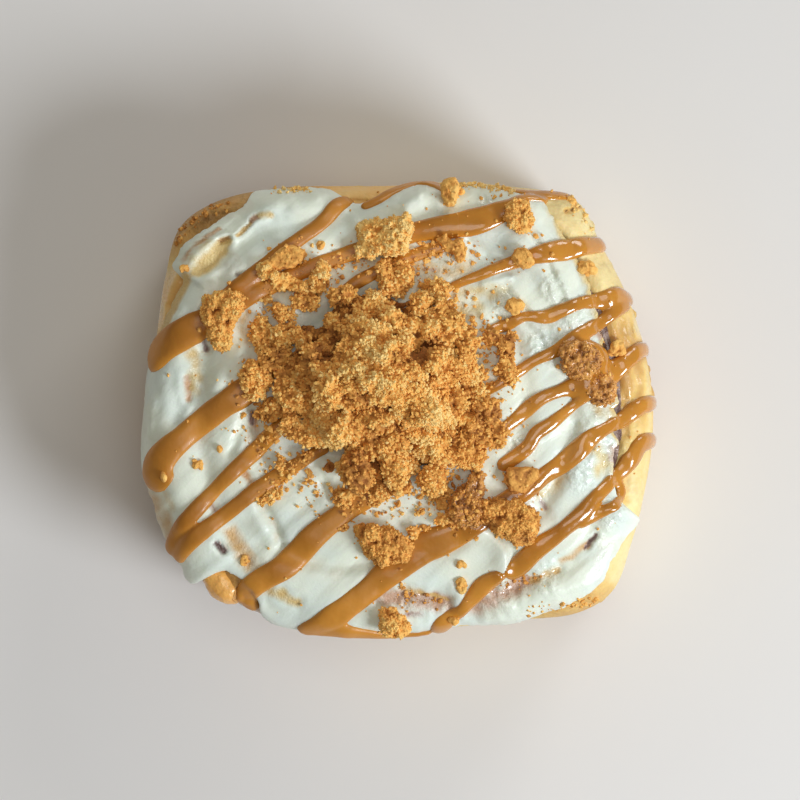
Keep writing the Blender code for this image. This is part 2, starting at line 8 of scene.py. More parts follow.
import logging
import math
from collections.abc import Callable, Sequence
from dataclasses import dataclass, field
from enum import Enum

import bmesh
import bpy
import numpy as np
from mathutils import Matrix, Vector, noise
from mathutils.bvhtree import BVHTree


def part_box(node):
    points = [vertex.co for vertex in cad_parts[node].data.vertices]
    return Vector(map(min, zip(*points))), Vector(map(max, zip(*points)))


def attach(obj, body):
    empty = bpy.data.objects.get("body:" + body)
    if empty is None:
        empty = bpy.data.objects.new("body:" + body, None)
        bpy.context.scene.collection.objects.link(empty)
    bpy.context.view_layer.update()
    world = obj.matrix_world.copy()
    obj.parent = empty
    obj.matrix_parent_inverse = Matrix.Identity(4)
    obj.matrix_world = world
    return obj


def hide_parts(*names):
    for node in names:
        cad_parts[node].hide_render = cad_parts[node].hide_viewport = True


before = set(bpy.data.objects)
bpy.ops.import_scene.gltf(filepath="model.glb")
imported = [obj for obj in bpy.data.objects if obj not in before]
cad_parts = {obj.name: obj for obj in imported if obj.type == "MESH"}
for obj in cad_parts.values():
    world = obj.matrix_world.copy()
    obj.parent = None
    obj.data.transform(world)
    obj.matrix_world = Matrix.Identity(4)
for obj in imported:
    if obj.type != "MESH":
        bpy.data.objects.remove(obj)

LOG = logging.getLogger("cinnamon roll")
BODY = "root"
MM = 0.001

# Millimetres: how near vertices are merged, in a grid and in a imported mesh, and a height above all.
WELD = 0.0004
MERGE = 0.01
DROP = 70.0

Array = np.ndarray
Mesh = bmesh.types.BMesh
Material = bpy.types.Material
Colour = tuple[float, float, float]
Spot = tuple[float, float]
Triple = tuple[float, float, float]
Table = tuple[tuple[float, float], ...]
Ramp = tuple[tuple[float, Colour], ...]
Placed = tuple[Array, dict[str, Array]]


# ---- numbers ----


def smooth(value: Array | float) -> Array:
    """A smooth step: 0 up to a value of 0, and 1 from a value of 1 on."""
    held = np.clip(value, 0.0, 1.0)
    return held * held * (3.0 - 2.0 * held)


def mix(first: Array | float, second: Array | float, share: Array | float) -> Array | float:
    """Blend two values: the first at a share of 0, the second at 1."""
    return first + (second - first) * share


def around(table: Table, bearings: Array) -> Array:
    """Values on a smooth closed curve through pairs of bearing and value.

    Args:
        table: The pairs, in order of bearing.
        bearings: Where the curve is read, in degrees.

    Returns:
        One value for each bearing.
    """
    pairs = np.array(table, float)
    knots = np.vstack([pairs + (360.0 * turn, 0.0) for turn in (-1, 0, 1)])
    places = (np.asarray(bearings, float) - pairs[0, 0]) % 360.0 + pairs[0, 0]
    at = np.searchsorted(knots[:, 0], places, side="right") - 1
    (b0, v0), (b1, v1), (b2, v2), (b3, v3) = (knots[at + step].T for step in (-1, 0, 1, 2))
    span = b2 - b1
    t = (places - b1) / span
    slope_1 = (v2 - v0) / (b2 - b0) * span
    slope_2 = (v3 - v1) / (b3 - b1) * span
    return (
        v1 * (1 + 2 * t) * (1 - t) ** 2
        + slope_1 * t * (1 - t) ** 2
        + v2 * t * t * (3 - 2 * t)
        + slope_2 * t * t * (t - 1)
    )


def through(points: Sequence[Spot], shares: Array) -> Array:
    """Points on a smooth open curve through a few plan points.

    Args:
        points: The points it passes through.
        shares: Shares of the way, from 0 to 1.

    Returns:
        One plan point for each share.
    """
    knots = np.array(points, float)
    knots = np.vstack([2 * knots[0] - knots[1], knots, 2 * knots[-1] - knots[-2]])
    last = len(points) - 1
    place = np.clip(shares, 0.0, 1.0) * last
    at = np.minimum(place.astype(int), last - 1)
    t = (place - at)[:, None]
    p0, p1, p2, p3 = (knots[at + step] for step in range(4))
    return 0.5 * (2 * p1 + (p2 - p0) * t + (2 * p0 - 5 * p1 + 4 * p2 - p3) * t ** 2
                  + (3 * p1 - p0 - 3 * p2 + p3) * t ** 3)


def uneven(points: Array, span: float, seed: float = 0.0) -> Array:
    """Smooth noise at points.

    Args:
        points: The points, or plan points, which are taken at a height of 0.
        span: The distance over which it changes.
        seed: An offset, so that two uses differ.

    Returns:
        Values from about -1 to 1.
    """
    if points.shape[1] == 2:
        points = np.column_stack([points, np.zeros(len(points))])
    return np.array([noise.noise(place) for place in (points / span + seed).tolist()])


def granules(points: Array, span: float, seed: float = 0.0) -> Array:
    """Grains packed a span apart, as heights: about 0.4 in their middles and -0.5 in the creases."""
    nearest = np.array([noise.voronoi(place)[0][0] for place in (points / span + seed).tolist()])
    return 0.4 - np.minimum(nearest, 1.0) ** 2


def bell(away: Array, half: Array | float) -> Array:
    """A rounded rise: 1 at a distance of 0, and about a third at a half width."""
    return np.exp(-(away / half) ** 2)


def passed(rows: Array, start: int, count: int) -> Array:
    """The share of a run of rows, from its start, that lies behind each row."""
    return np.clip((rows - start) / count, 0.0, 1.0)


def unit(vectors: Array) -> Array:
    """Vectors brought to a length of 1."""
    return vectors / np.linalg.norm(vectors, axis=1)[:, None]


def patches(spots: Array, places: Sequence[tuple]) -> Array:
    """Soft round patches on the plan.

    Args:
        spots: The plan points.
        places: The middle and the reach of each patch, and where it isn't 1 its strength.

    Returns:
        The strength of the strongest patch at each point.
    """
    return np.max([math.prod(strength) * smooth(1.4 - np.hypot(*(spots - np.array(spot)).T) / reach)
                   for spot, reach, *strength in places], axis=0)


# ---- the roll's form ----


@dataclass
class RollForm:
    """The roll that everything is fitted to: its rim, dome, shoulder, sides and the swirl of its layers."""

    centre: Spot = (3.5, 4.0)
    mean_radius: float = 54.0
    height: float = 43.0
    dome_fall: float = 3.5
    shoulder: float = 8.0
    wall_tuck: float = 1.6
    wall_run: float = 3.0
    swell: float = 0.9
    swell_span: float = 70.0
    turns: float = 4.6
    tail_bearing: float = 228.0
    tail_thick: float = 2.2
    tail_taper: float = 0.15
    tail_notch: float = 0.05
    outer_layer: float = 8.6
    layer: float = 10.5
    groove_depth: float = 1.8
    core_curl: float = 0.12
    rim_table: Table = (
        (0, 50.3), (12, 49.4), (25, 49.2), (38, 50), (48, 52.6), (55, 51), (65, 47.5), (80, 44.7),
        (97, 43.6), (112, 46.6), (126, 52.7), (138, 59), (146, 61.3), (156, 59), (170, 56.8), (184, 57.6),
        (196, 60.3), (208, 62.4), (219, 63), (231, 60.1), (245, 56.6), (260, 53.3), (278, 52), (294, 54.6),
        (306, 59.6), (314, 60.6), (324, 56.9), (338, 53.2),
    )
    sections: int = 40
    shift: Vector = field(init=False)

    def __post_init__(self) -> None:
        """Find how far the frame lies from the drawing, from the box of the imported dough."""
        bearings = self.turn_bearing(np.arange(self.sections) / self.sections)
        lowest = self.plan(bearings, self.rim(bearings)).min(axis=0)
        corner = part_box("dough_roll")[0] / MM
        self.shift = Vector((corner.x - lowest[0], corner.y - lowest[1], 0.0))

    def rim(self, bearings: Array) -> Array:
        """The rim's distance from the middle of the swirl at bearings."""
        return around(self.rim_table, bearings)

    def plan(self, bearings: Array, radii: Array | float) -> Array:
        """Plan points at bearings and distances from the middle of the swirl."""
        angles = np.radians(bearings)
        outward = np.column_stack([np.cos(angles), np.sin(angles)])
        return np.array(self.centre) + outward * np.reshape(radii, (-1, 1))

    def locate(self, spots: Array) -> tuple[Array, Array]:
        """The bearing and the inset of plan points."""
        offsets = spots[:, :2] - np.array(self.centre)
        bearings = np.degrees(np.arctan2(offsets[:, 1], offsets[:, 0])) % 360.0
        return bearings, self.rim(bearings) - np.hypot(offsets[:, 0], offsets[:, 1])

    def dome(self, spots: Array) -> Array:
        """Height of the roll over plan points, without its grooves and its shoulder."""
        bearings, insets = self.locate(spots)
        shares = np.minimum(1.0 - insets / self.rim(bearings), 1.1)
        waves = uneven(spots, self.swell_span)
        return self.height - self.dome_fall * shares ** 2 + 2 * self.swell * waves

    def shoulder_drop(self, insets: Array) -> Array:
        """How far the top has rounded down at insets."""
        held = np.clip(insets, 0.0, self.shoulder)
        return self.shoulder - np.sqrt(self.shoulder ** 2 - (self.shoulder - held) ** 2)

    def surface(self, bearings: Array, insets: Array, lifts: Array | float = 0.0) -> tuple[Array, Array]:
        """Points lifted off the roll's skin, and the skin's normals.

        Args:
            bearings: Where they are round the roll.
            insets: How far in from the rim; below 0 they lie down the side.
            lifts: How far off the skin.

        Returns:
            The points, and the normals there.
        """
        rims = self.rim(bearings)
        inside = np.maximum(insets, 0.0)
        outward = self.plan(bearings, 1.0) - np.array(self.centre)
        tops = self.dome(self.plan(bearings, rims - inside))
        hanging = insets < 0.0
        wall_tops = tops - self.shoulder
        low = wall_tops + insets * self.wall_run
        heights = np.where(hanging, low, tops - self.shoulder_drop(inside))
        tucked = self.wall_tuck * (1.0 - low / wall_tops) ** 2
        spots = self.plan(bearings, np.where(hanging, rims - tucked, rims - inside))
        lean = np.clip(1.0 - inside / self.shoulder, 0.0, 1.0)[:, None]
        normals = np.hstack([outward * lean, np.sqrt(1.0 - lean ** 2)])
        return np.column_stack([spots, heights]) + normals * np.reshape(lifts, (-1, 1)), normals

    def turn_bearing(self, turns: Array) -> Array:
        """The bearing at a number of turns in from the tail of the strip."""
        return self.tail_bearing + 360.0 * turns

    def layer_thickness(self, turns: Array) -> Array:
        """Thickness of the strip at a number of turns in from its tail, which is pressed thin."""
        tail = self.tail_thick * smooth((turns + self.tail_notch) / self.tail_notch)
        body = (self.outer_layer - self.tail_thick) * smooth(turns / self.tail_taper)
        return tail + body + (self.layer - self.outer_layer) * np.clip(turns, 0.0, 1.0)

    def turn_radius(self, turns: Array) -> Array:
        """Radius of the strip's outer face: the layers outside it, off a rim that turns round further in."""
        inset = np.zeros_like(turns, dtype=float)
        for outside in range(1, math.ceil(self.turns) + 2):
            outer = turns - outside
            inset += np.where(outer > -self.tail_notch, self.layer_thickness(outer), 0.0)
        shares = np.maximum(1.0 - inset / self.mean_radius, 0.0)
        return shares * mix(self.mean_radius, self.rim(self.turn_bearing(turns)), shares)

    def seam_distance(self, bearings: Array, radii: Array) -> Array:
        """Distance from the nearest seam of filling, across the layers.

        Args:
            bearings: Where the places are round the roll.
            radii: How far they are from the middle.

        Returns:
            One distance for each place.
        """
        first = ((bearings - self.tail_bearing) % 360.0) / 360.0
        nearest = np.full(len(first), self.mean_radius)
        for turn in range(1, math.ceil(self.turns)):
            turns = first + turn
            away = np.abs(radii - self.turn_radius(turns))
            nearest = np.where(turns < self.turns, np.minimum(nearest, away), nearest)
        return nearest

    def from_frame(self, points: Array) -> Array:
        """Points of the frame, in metres, as points of the drawing, in millimetres."""
        return points / MM - np.array(self.shift)


# ---- meshes ----


def mapped_grid(columns: int, rows: int, place: Callable[[Array, Array], Placed]) -> Mesh:
    """A grid laid on a shape, welded where its sides meet, closed at its ends and turned outwards.

    Args:
        columns: Steps along the shape.
        rows: Steps round its section.
        place: Takes the column and the row of each vertex, and gives its point and its values by name.

    Returns:
        The closed mesh, in millimetres.
    """
    grid = bmesh.new()
    bmesh.ops.create_grid(grid, x_segments=columns, y_segments=rows, size=0.5)
    flat = np.array([vert.co[:2] for vert in grid.verts]) + 0.5
    points, values = place(np.rint(flat[:, 0] * columns), np.rint(flat[:, 1] * rows))
    layers = [(grid.verts.layers.float.new(name), column.tolist()) for name, column in values.items()]
    for index, (vert, point) in enumerate(zip(grid.verts, points.tolist())):
        vert.co = point
        for layer, column in layers:
            vert[layer] = column[index]
    bmesh.ops.remove_doubles(grid, verts=grid.verts, dist=WELD)
    bmesh.ops.holes_fill(grid, edges=[edge for edge in grid.edges if edge.is_boundary], sides=0)
    bmesh.ops.recalc_face_normals(grid, faces=grid.faces)
    return grid


def join(whole: Mesh, part: Mesh) -> None:
    """Add a mesh, which is used up, to another."""
    data = bpy.data.meshes.new("part")
    part.to_mesh(data)
    part.free()
    whole.from_mesh(data)
    bpy.data.meshes.remove(data)


def with_modifiers(shape: Mesh, *steps: tuple[str, dict[str, object]]) -> Mesh:
    """Run modifiers over a mesh and take their result.

    Args:
        shape: The mesh, which is used up.
        steps: Each modifier's type and its settings, in order.

    Returns:
        The resulting mesh.
    """
    data = bpy.data.meshes.new("blank")
    shape.to_mesh(data)
    shape.free()
    blank = bpy.data.objects.new("blank", data)
    bpy.context.scene.collection.objects.link(blank)
    for kind, settings in steps:
        modifier = blank.modifiers.new(kind.lower(), kind)
        for name, value in settings.items():
            setattr(modifier, name, value)
    graph = bpy.context.evaluated_depsgraph_get()
    evaluated = blank.evaluated_get(graph)
    result = bmesh.new()
    result.from_mesh(evaluated.to_mesh())
    evaluated.to_mesh_clear()
    bpy.data.objects.remove(blank)
    bpy.data.meshes.remove(data)
    return result


def remeshed(shape: Mesh, voxel: float, melt: int) -> Mesh:
    """One even skin round a mesh or several that overlap, with its edges melted.

    Args:
        shape: The mesh, which is used up.
        voxel: Size of the new faces.
        melt: How many times the new skin is smoothed.

    Returns:
        The new skin.
    """
    return with_modifiers(
        shape,
        ("REMESH", {"mode": "VOXEL", "voxel_size": voxel, "adaptivity": 0.0}),
        ("SMOOTH", {"factor": 0.5, "iterations": melt}),
    )


def places_of(shape: Mesh) -> tuple[Array, Array]:
    """The points and the normals of a mesh's vertices."""
    shape.normal_update()
    points = np.array([vert.co[:] for vert in shape.verts])
    return points, np.array([vert.normal[:] for vert in shape.verts])


def move_to(shape: Mesh, points: Array) -> None:
    """Put a mesh's vertices at points."""
    for vert, point in zip(shape.verts, points.tolist()):
        vert.co = point


def set_values(shape: Mesh, **values: Array | float) -> None:
    """Keep numbers for each vertex of a mesh, by name, for its finish to read."""
    for name, column in values.items():
        layer = shape.verts.layers.float.get(name) or shape.verts.layers.float.new(name)
        for vert, value in zip(shape.verts, np.broadcast_to(column, len(shape.verts)).tolist()):
            vert[layer] = value


def node_copy(form: RollForm, name: str) -> Mesh:
    """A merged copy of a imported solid's mesh, in the drawing's millimetres."""
    copy = bmesh.new()
    copy.from_mesh(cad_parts[name].data)
    points, _ = places_of(copy)
    move_to(copy, form.from_frame(points))
    bmesh.ops.remove_doubles(copy, verts=copy.verts, dist=MERGE)
    return copy


def finish_piece(form: RollForm, name: str, shape: Mesh, material: Material,
                 replaced: Sequence[str] = (), soft: bool = True) -> None:
    """Make a named piece of the roll from a finished mesh, riding on the roll.

    Args:
        form: The roll's form, which knows where the frame lies.
        name: The piece's name.
        shape: Its mesh in millimetres, which is used up.
        material: Its finish.
        replaced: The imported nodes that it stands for.
        soft: Whether it is shaded smooth.
    """
    to_frame = Matrix.Scale(MM, 4) @ Matrix.Translation(form.shift)
    bmesh.ops.transform(shape, matrix=to_frame, verts=shape.verts)
    data = bpy.data.meshes.new(name)
    shape.to_mesh(data)
    shape.free()
    data.materials.append(material)
    data.polygons.foreach_set("use_smooth", [soft] * len(data.polygons))
    piece = bpy.data.objects.new(name, data)
    bpy.context.scene.collection.objects.link(piece)
    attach(piece, BODY)
    if replaced:
        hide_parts(*replaced)
    LOG.info("%s: %d faces", name, len(data.polygons))


class Ground:
    """The surfaces that toppings are laid on, which rays find."""

    def __init__(self) -> None:
        """Start with nothing to lie on."""
        self.trees: list[BVHTree] = []

    def add(self, shape: Mesh) -> None:
        """Count a mesh as something to lie on."""
        self.trees.append(BVHTree.FromBMesh(shape))

    def below(self, point: Vector, normal: Vector, reach: float = 12.0) -> tuple[Vector, Vector] | None:
        """The first surface met from a reach outside a point, going in.

        Args:
            point: A point near the surface.
            normal: The way out.
            reach: How far outside the search starts.

        Returns:
            The surface's point and its normal, or None where there is none.
        """
        start = point + normal * reach
        hits = [tree.ray_cast(start, -normal, 2 * reach) for tree in self.trees]
        hits = [hit for hit in hits if hit[0] is not None]
        if not hits:
            return None
        nearest = min(hits, key=lambda hit: hit[3])
        return nearest[0], nearest[1]

    def top(self, spot: Sequence[float]) -> tuple[Vector, Vector] | None:
        """The highest surface over a plan point, and its normal, or None where there is none."""
        return self.below(Vector((spot[0], spot[1], DROP)), Vector((0.0, 0.0, 1.0)), DROP)


# ---- shader maths ----


class Signal:
    """A socket's value in a shader, so that shader maths reads as an expression."""

    def __init__(self, shader: "Shader", socket: bpy.types.NodeSocket) -> None:
        """Wrap a socket of a shader."""
        self.shader = shader
        self.socket = socket

    def _maths(self, operation: str, first: "Signal | float", second: "Signal | float") -> "Signal":
        """A Math node on two values."""
        return self.shader.node("ShaderNodeMath", {"operation": operation}, {0: first, 1: second})

    def __add__(self, other: "Signal | float") -> "Signal":
        """This value plus another."""
        return self._maths("ADD", self, other)

    __radd__ = __add__

    def __mul__(self, other: "Signal | float") -> "Signal":
        """This value times another."""
        return self._maths("MULTIPLY", self, other)

    __rmul__ = __mul__

    def __sub__(self, other: "Signal | float") -> "Signal":
        """This value less another."""
        return self._maths("SUBTRACT", self, other)

    def __rsub__(self, other: "Signal | float") -> "Signal":
        """Another value less this one."""
        return self._maths("SUBTRACT", other, self)

    def step(self, low: float, high: float) -> "Signal":
        """A smooth step of this value, from 0 at low to 1 at high."""
        values = {"Value": self, "From Min": low, "From Max": high}
        return self.shader.node("ShaderNodeMapRange", {"interpolation_type": "SMOOTHSTEP"}, values)


class Shader:
    """A Principled material that is put together node by node."""

    def __init__(self, name: str) -> None:
        """Start a material with a bare Principled shader."""
        self.material = bpy.data.materials.new(name)
        self.material.use_nodes = True
        self.tree = self.material.node_tree
        self.principled = self.tree.nodes["Principled BSDF"]
        self._places = self.node("ShaderNodeTexCoord", output="Object")

    def node(self, kind: str, settings: dict[str, object] | None = None,
             values: dict[str | int, object] | None = None, output: str | int = 0) -> Signal:
        """Make any node.

        Args:
            kind: The node's type.
            settings: Its settings, which are set first; a ramp's stops are under "stops".
            values: Numbers, colours or signals for its sockets, by name or number.
            output: Which of its outputs is given back.

        Returns:
            That output.
        """
        made = self.tree.nodes.new(kind)
        for name, setting in (settings or {}).items():
            if name == "stops":
                self._set_stops(made.color_ramp, setting)
            else:
                setattr(made, name, setting)
        for name, value in (values or {}).items():
            self.put(made.inputs[name], value)
        return Signal(self, made.outputs[output])

    def put(self, socket: bpy.types.NodeSocket, value: object) -> None:
        """Link a signal to a socket, or set the socket's own value."""
        if isinstance(value, Signal):
            self.tree.links.new(value.socket, socket)
        elif isinstance(value, tuple) and socket.type == "RGBA":
            socket.default_value = (*value, 1.0)
        else:
            socket.default_value = value

    @staticmethod
    def _set_stops(ramp: bpy.types.ColorRamp, stops: Ramp) -> None:
        """Give a colour ramp its stops."""
        while len(ramp.elements) < len(stops):
            ramp.elements.new(1.0)
        for element, (place, colour) in zip(ramp.elements, stops):
            element.position = place
            element.color = (*colour, 1.0)

    def value_of(self, name: str) -> Signal:
        """The number that a piece's mesh keeps under a name."""
        return self.node("ShaderNodeAttribute", {"attribute_name": name}, output="Fac")

    def clouds(self, span: float, detail: float = 3.0, stretch: Triple = (1.0, 1.0, 1.0),
               turn: float = 0.0) -> Signal:
        """Soft noise from 0 to 1, fixed to the piece.

        Args:
            span: Size of its patches, in millimetres.
            detail: How many finer layers it has.
            stretch: How much longer the patches are along each axis.
            turn: How far the patches are turned about Z, in degrees.

        Returns:
            The noise.
        """
        placed = self.node("ShaderNodeMapping", {"vector_type": "TEXTURE"}, {
            "Vector": self._places,
            "Rotation": (0.0, 0.0, math.radians(turn)),
            "Scale": tuple(span * MM * times for times in stretch),
        })
        values = {"Vector": placed, "Scale": 1.0, "Detail": detail}
        return self.node("ShaderNodeTexNoise", {}, values, "Fac")

    def ramp(self, value: Signal, stops: Ramp) -> Signal:
        """Colours along a value."""
        return self.node("ShaderNodeValToRGB", {"stops": stops}, {"Fac": value}, "Color")

    def blend(self, first: object, second: object, share: object) -> Signal:
        """Mix two colours by a share."""
        settings = {"data_type": "RGBA", "blend_type": "MIX"}
        return self.node("ShaderNodeMix", settings, {0: share, 6: first, 7: second}, 2)

    def bump(self, height: Signal, depth: float, under: Signal | None = None) -> Signal:
        """A relief in the shading.

        Args:
            height: The relief, from 0 to 1.
            depth: How deep it is, in millimetres.
            under: Another relief that it lies on.

        Returns:
            The normal.
        """
        values = {"Strength": 1.0, "Distance": depth * MM, "Height": height}
        if under is not None:
            values["Normal"] = under
        return self.node("ShaderNodeBump", {}, values, "Normal")

    def finish(self, **values: object) -> Material:
        """Give the Principled shader its values, by its sockets' names with _ for a space."""
        names = {socket.name.lower().replace(" ", "_"): socket for socket in self.principled.inputs}
        for name, value in values.items():
            self.put(names[name], value)
        return self.material


# ---- finishes ----


@dataclass(frozen=True)
class DoughFinish:
    """Baked dough: pale torn crumb to browned crust, by the mesh's crust value, which also holds some
    painted light and shade.
    """

    colours: Ramp = (
        (0.0, (0.92, 0.76, 0.38)),
        (0.25, (0.88, 0.60, 0.20)),
        (0.5, (0.68, 0.38, 0.11)),
        (0.75, (0.36, 0.185, 0.055)),
        (1.0, (0.15, 0.065, 0.025)),
    )
    toasted: Colour = (0.72, 0.50, 0.20)
    amber: Colour = (0.98, 0.46, 0.10)
    roughness: float = 0.52
    torn_roughness: float = 0.8

    def material(self) -> Material:
        """Make the dough's material."""
        shader = Shader("baked_dough")
        crust = shader.value_of("crust")
        torn = shader.value_of("torn")
        patches = shader.clouds(7.0, 4.0)
        specks = shader.clouds(1.1, 3.0)
        browning = crust + (patches - 0.5) * 0.34 + (specks - 0.5) * 0.16
        colour = shader.ramp(browning, self.colours)
        toast = shader.clouds(4.0, 5.0).step(0.56, 0.72) * (1.0 - crust) * 0.5
        colour = shader.blend(colour, self.toasted, toast)
        colour = shader.blend(colour, self.amber, shader.value_of("amber") * (patches * 0.6 + 0.5))
        pores = shader.clouds(0.8, 4.0, (1.0, 1.0, 1.8))
        wrinkles = shader.clouds(2.2, 5.0)
        relief = shader.bump(wrinkles, 0.5)
        relief = shader.bump(pores * (0.25 + 0.75 * torn + 0.9 * crust.step(0.5, 0.65)), 0.5, relief)
        rough = self.roughness + (self.torn_roughness - self.roughness) * torn
        rough = rough - shader.value_of("glaze") * 0.3
        return shader.finish(
            base_color=colour, roughness=rough, normal=relief, coat_weight=shader.value_of("glaze"),
            coat_roughness=0.12, subsurface_weight=0.12, subsurface_radius=(0.004, 0.0022, 0.0008),
            subsurface_scale=0.5,
        )


@dataclass(frozen=True)
class FillingFinish:
    """Moist cinnamon sugar: dark, grainy and glinting."""

    dark: Colour = (0.17, 0.09, 0.075)
    brown: Colour = (0.48, 0.35, 0.30)
    roughness: float = 0.25

    def material(self) -> Material:
        """Make the filling's material."""
        shader = Shader("cinnamon_sugar")
        grains = shader.clouds(0.6, 4.0)
        colour = shader.blend(self.dark, self.brown, shader.clouds(2.0, 4.0).step(0.4, 0.65))
        rough = self.roughness + (grains - 0.5) * 0.5
        return shader.finish(
            base_color=colour, roughness=rough, normal=shader.bump(grains, 0.8), coat_weight=1.0,
            coat_roughness=0.08,
        )


@dataclass(frozen=True)
class IcingFinish:
    """White icing that thins to the dough, the crust or the filling under it."""

    white: Colour = (0.84, 0.89, 0.76)
    cool: Colour = (0.79, 0.87, 0.79)
    under: Ramp = (
        (0.0, (0.82, 0.66, 0.31)),
        (0.3, (0.72, 0.47, 0.18)),
        (0.55, (0.64, 0.38, 0.21)),
        (0.7, (0.62, 0.43, 0.33)),
        (0.85, (0.42, 0.29, 0.26)),
        (1.0, (0.10, 0.045, 0.035)),
    )
    roughness: float = 0.34

    def material(self) -> Material:
        """Make the icing's material."""
        shader = Shader("dragged_icing")
        cover = shader.value_of("cover")
        fine = shader.clouds(1.3, 4.0)
        white = shader.blend(self.white, self.cool, shader.clouds(13.0, 3.0).step(0.42, 0.66))
        under = shader.ramp(shader.value_of("tone") + (fine - 0.5) * 0.16, self.under)
        share = (cover + (fine - 0.5) * 0.22).step(0.05, 0.8)
        colour = shader.blend(under, white, share)
        drag = shader.clouds(1.5, 4.0, (6.0, 1.0, 1.0), 42.0)
        relief = shader.bump(drag, 0.16)
        relief = shader.bump(shader.clouds(0.5, 3.0) * (1.2 - share), 0.28, relief)
        relief = shader.bump(shader.clouds(1.1, 3.0) * shader.value_of("glaze"), 0.5, relief)
        rough = self.roughness + (shader.clouds(5.0, 3.0) - 0.5) * 0.24
        return shader.finish(
            base_color=colour, roughness=rough, normal=relief, coat_weight=shader.value_of("glaze"),
            coat_roughness=0.08, subsurface_weight=0.22, subsurface_radius=(0.003, 0.0034, 0.0028),
            subsurface_scale=0.5,
        )


@dataclass(frozen=True)
class CaramelFinish:
    """Thick glossy caramel, darker where it is deep."""

    deep: Colour = (0.42, 0.155, 0.012)
    thin: Colour = (0.72, 0.31, 0.04)
    dull: float = 0.42
    wet: float = 0.2

    def material(self) -> Material:
        """Make the caramel's material."""
        shader = Shader("caramel")
        depth = shader.value_of("depth") + (shader.clouds(9.0, 3.0) - 0.5) * 0.7
        colour = shader.blend(self.thin, self.deep, depth.step(0.0, 1.0))
        relief = shader.bump(shader.clouds(3.0, 2.0), 0.2)
        glaze = shader.value_of("glaze")
        return shader.finish(
            base_color=colour, roughness=self.dull + (self.wet - self.dull) * glaze, normal=relief,
            coat_weight=glaze * 0.9 + 0.1, coat_roughness=0.06, subsurface_weight=0.14,
            subsurface_radius=(0.003, 0.0014, 0.0004), subsurface_scale=0.5,
        )


@dataclass(frozen=True)
class CrumbFinish:
    """Dry biscuit crumb: golden to brown by the mesh's shade value, which holds its toast and its painted
    shade, glazed where caramel has soaked in.
    """

    colours: Ramp = (
        (0.0, (0.34, 0.12, 0.022)),
        (0.3, (0.68, 0.30, 0.06)),
        (0.6, (0.96, 0.50, 0.115)),
        (0.85, (1.0, 0.62, 0.18)),
        (1.0, (1.0, 0.71, 0.27)),
    )
    roughness: float = 0.82

    def material(self) -> Material:
        """Make the crumbs' material."""
        shader = Shader("biscuit_crumb")
        grains = shader.clouds(0.45, 3.0)
        # The shade value holds painted shade and light as well as the crumb's toast.
        toast = shader.value_of("shade") + (grains - 0.5) * 0.45 + (shader.clouds(2.5, 3.0) - 0.5) * 0.3
        glaze = shader.value_of("glaze")
        return shader.finish(
            base_color=shader.ramp(toast - glaze * 0.2, self.colours),
            roughness=self.roughness - glaze * 0.45, normal=shader.bump(grains, 0.3),
            coat_weight=glaze * 0.8, coat_roughness=0.15,
        )


@dataclass(frozen=True)
class TableFinish:
    """A plain pale tabletop."""

    pale: Colour = (0.80, 0.78, 0.77)
    warm: Colour = (0.78, 0.75, 0.73)

    def material(self) -> Material:
        """Make the tabletop's material."""
        shader = Shader("pale_table")
        colour = shader.blend(self.pale, self.warm, shader.clouds(60.0, 2.0))
        return shader.finish(base_color=colour, roughness=0.7)


# ---- marks ----


class Mark(Enum):
    """What a stroke leaves in the icing or the dough."""

    RIDGE = "a rounded ridge"
    TROUGH = "a rounded trough"
    LIP = "a fold with a steep side on its left and a slow one on its right"
    OPENING = "a gap where the icing is dragged off"
    THIN = "a place where what lies below shines through"


RIDGE, TROUGH, LIP, OPENING, THIN = Mark


@dataclass(frozen=True)
class Stroke:
    """One mark along a smooth way: its half width, its depth, the tone that shows and how much of it."""

    mark: Mark
    way: tuple[Spot, ...]
    half: float
    depth: float
    tone: float = 0.0
    share: float = 1.0

    def near(self, spots: Array) -> Array:
        """The numbers of the plan points that lie near enough to matter."""
        low = np.min(self.way, axis=0) - 4.0 * self.half
        high = np.max(self.way, axis=0) + 4.0 * self.half
        return np.flatnonzero(((spots > low) & (spots < high)).all(axis=1))

    def offsets(self, spots: Array, steps: int = 24) -> tuple[Array, Array]:
        """How far plan points are from the way.

        Args:
            spots: The plan points.
            steps: How many straight steps stand for the way.

        Returns:
            The distances, and the signed distances across it, more than 0 on its left.
        """
        fine = through(self.way, np.linspace(0.0, 1.0, steps + 1))
        best = np.full(len(spots), 1e6)
        across = np.zeros(len(spots))
        for start, end in zip(fine, fine[1:]):
            run = end - start
            share = np.clip((spots - start) @ run / (run @ run), 0.0, 1.0)
            gap = spots - start - share[:, None] * run
            away = np.hypot(gap[:, 0], gap[:, 1])
            side = (run[0] * gap[:, 1] - run[1] * gap[:, 0]) / math.hypot(*run)
            closer = away < best
            best = np.where(closer, away, best)
            across = np.where(closer, side, across)
        return best, across


# ---- the dough and its filling ----


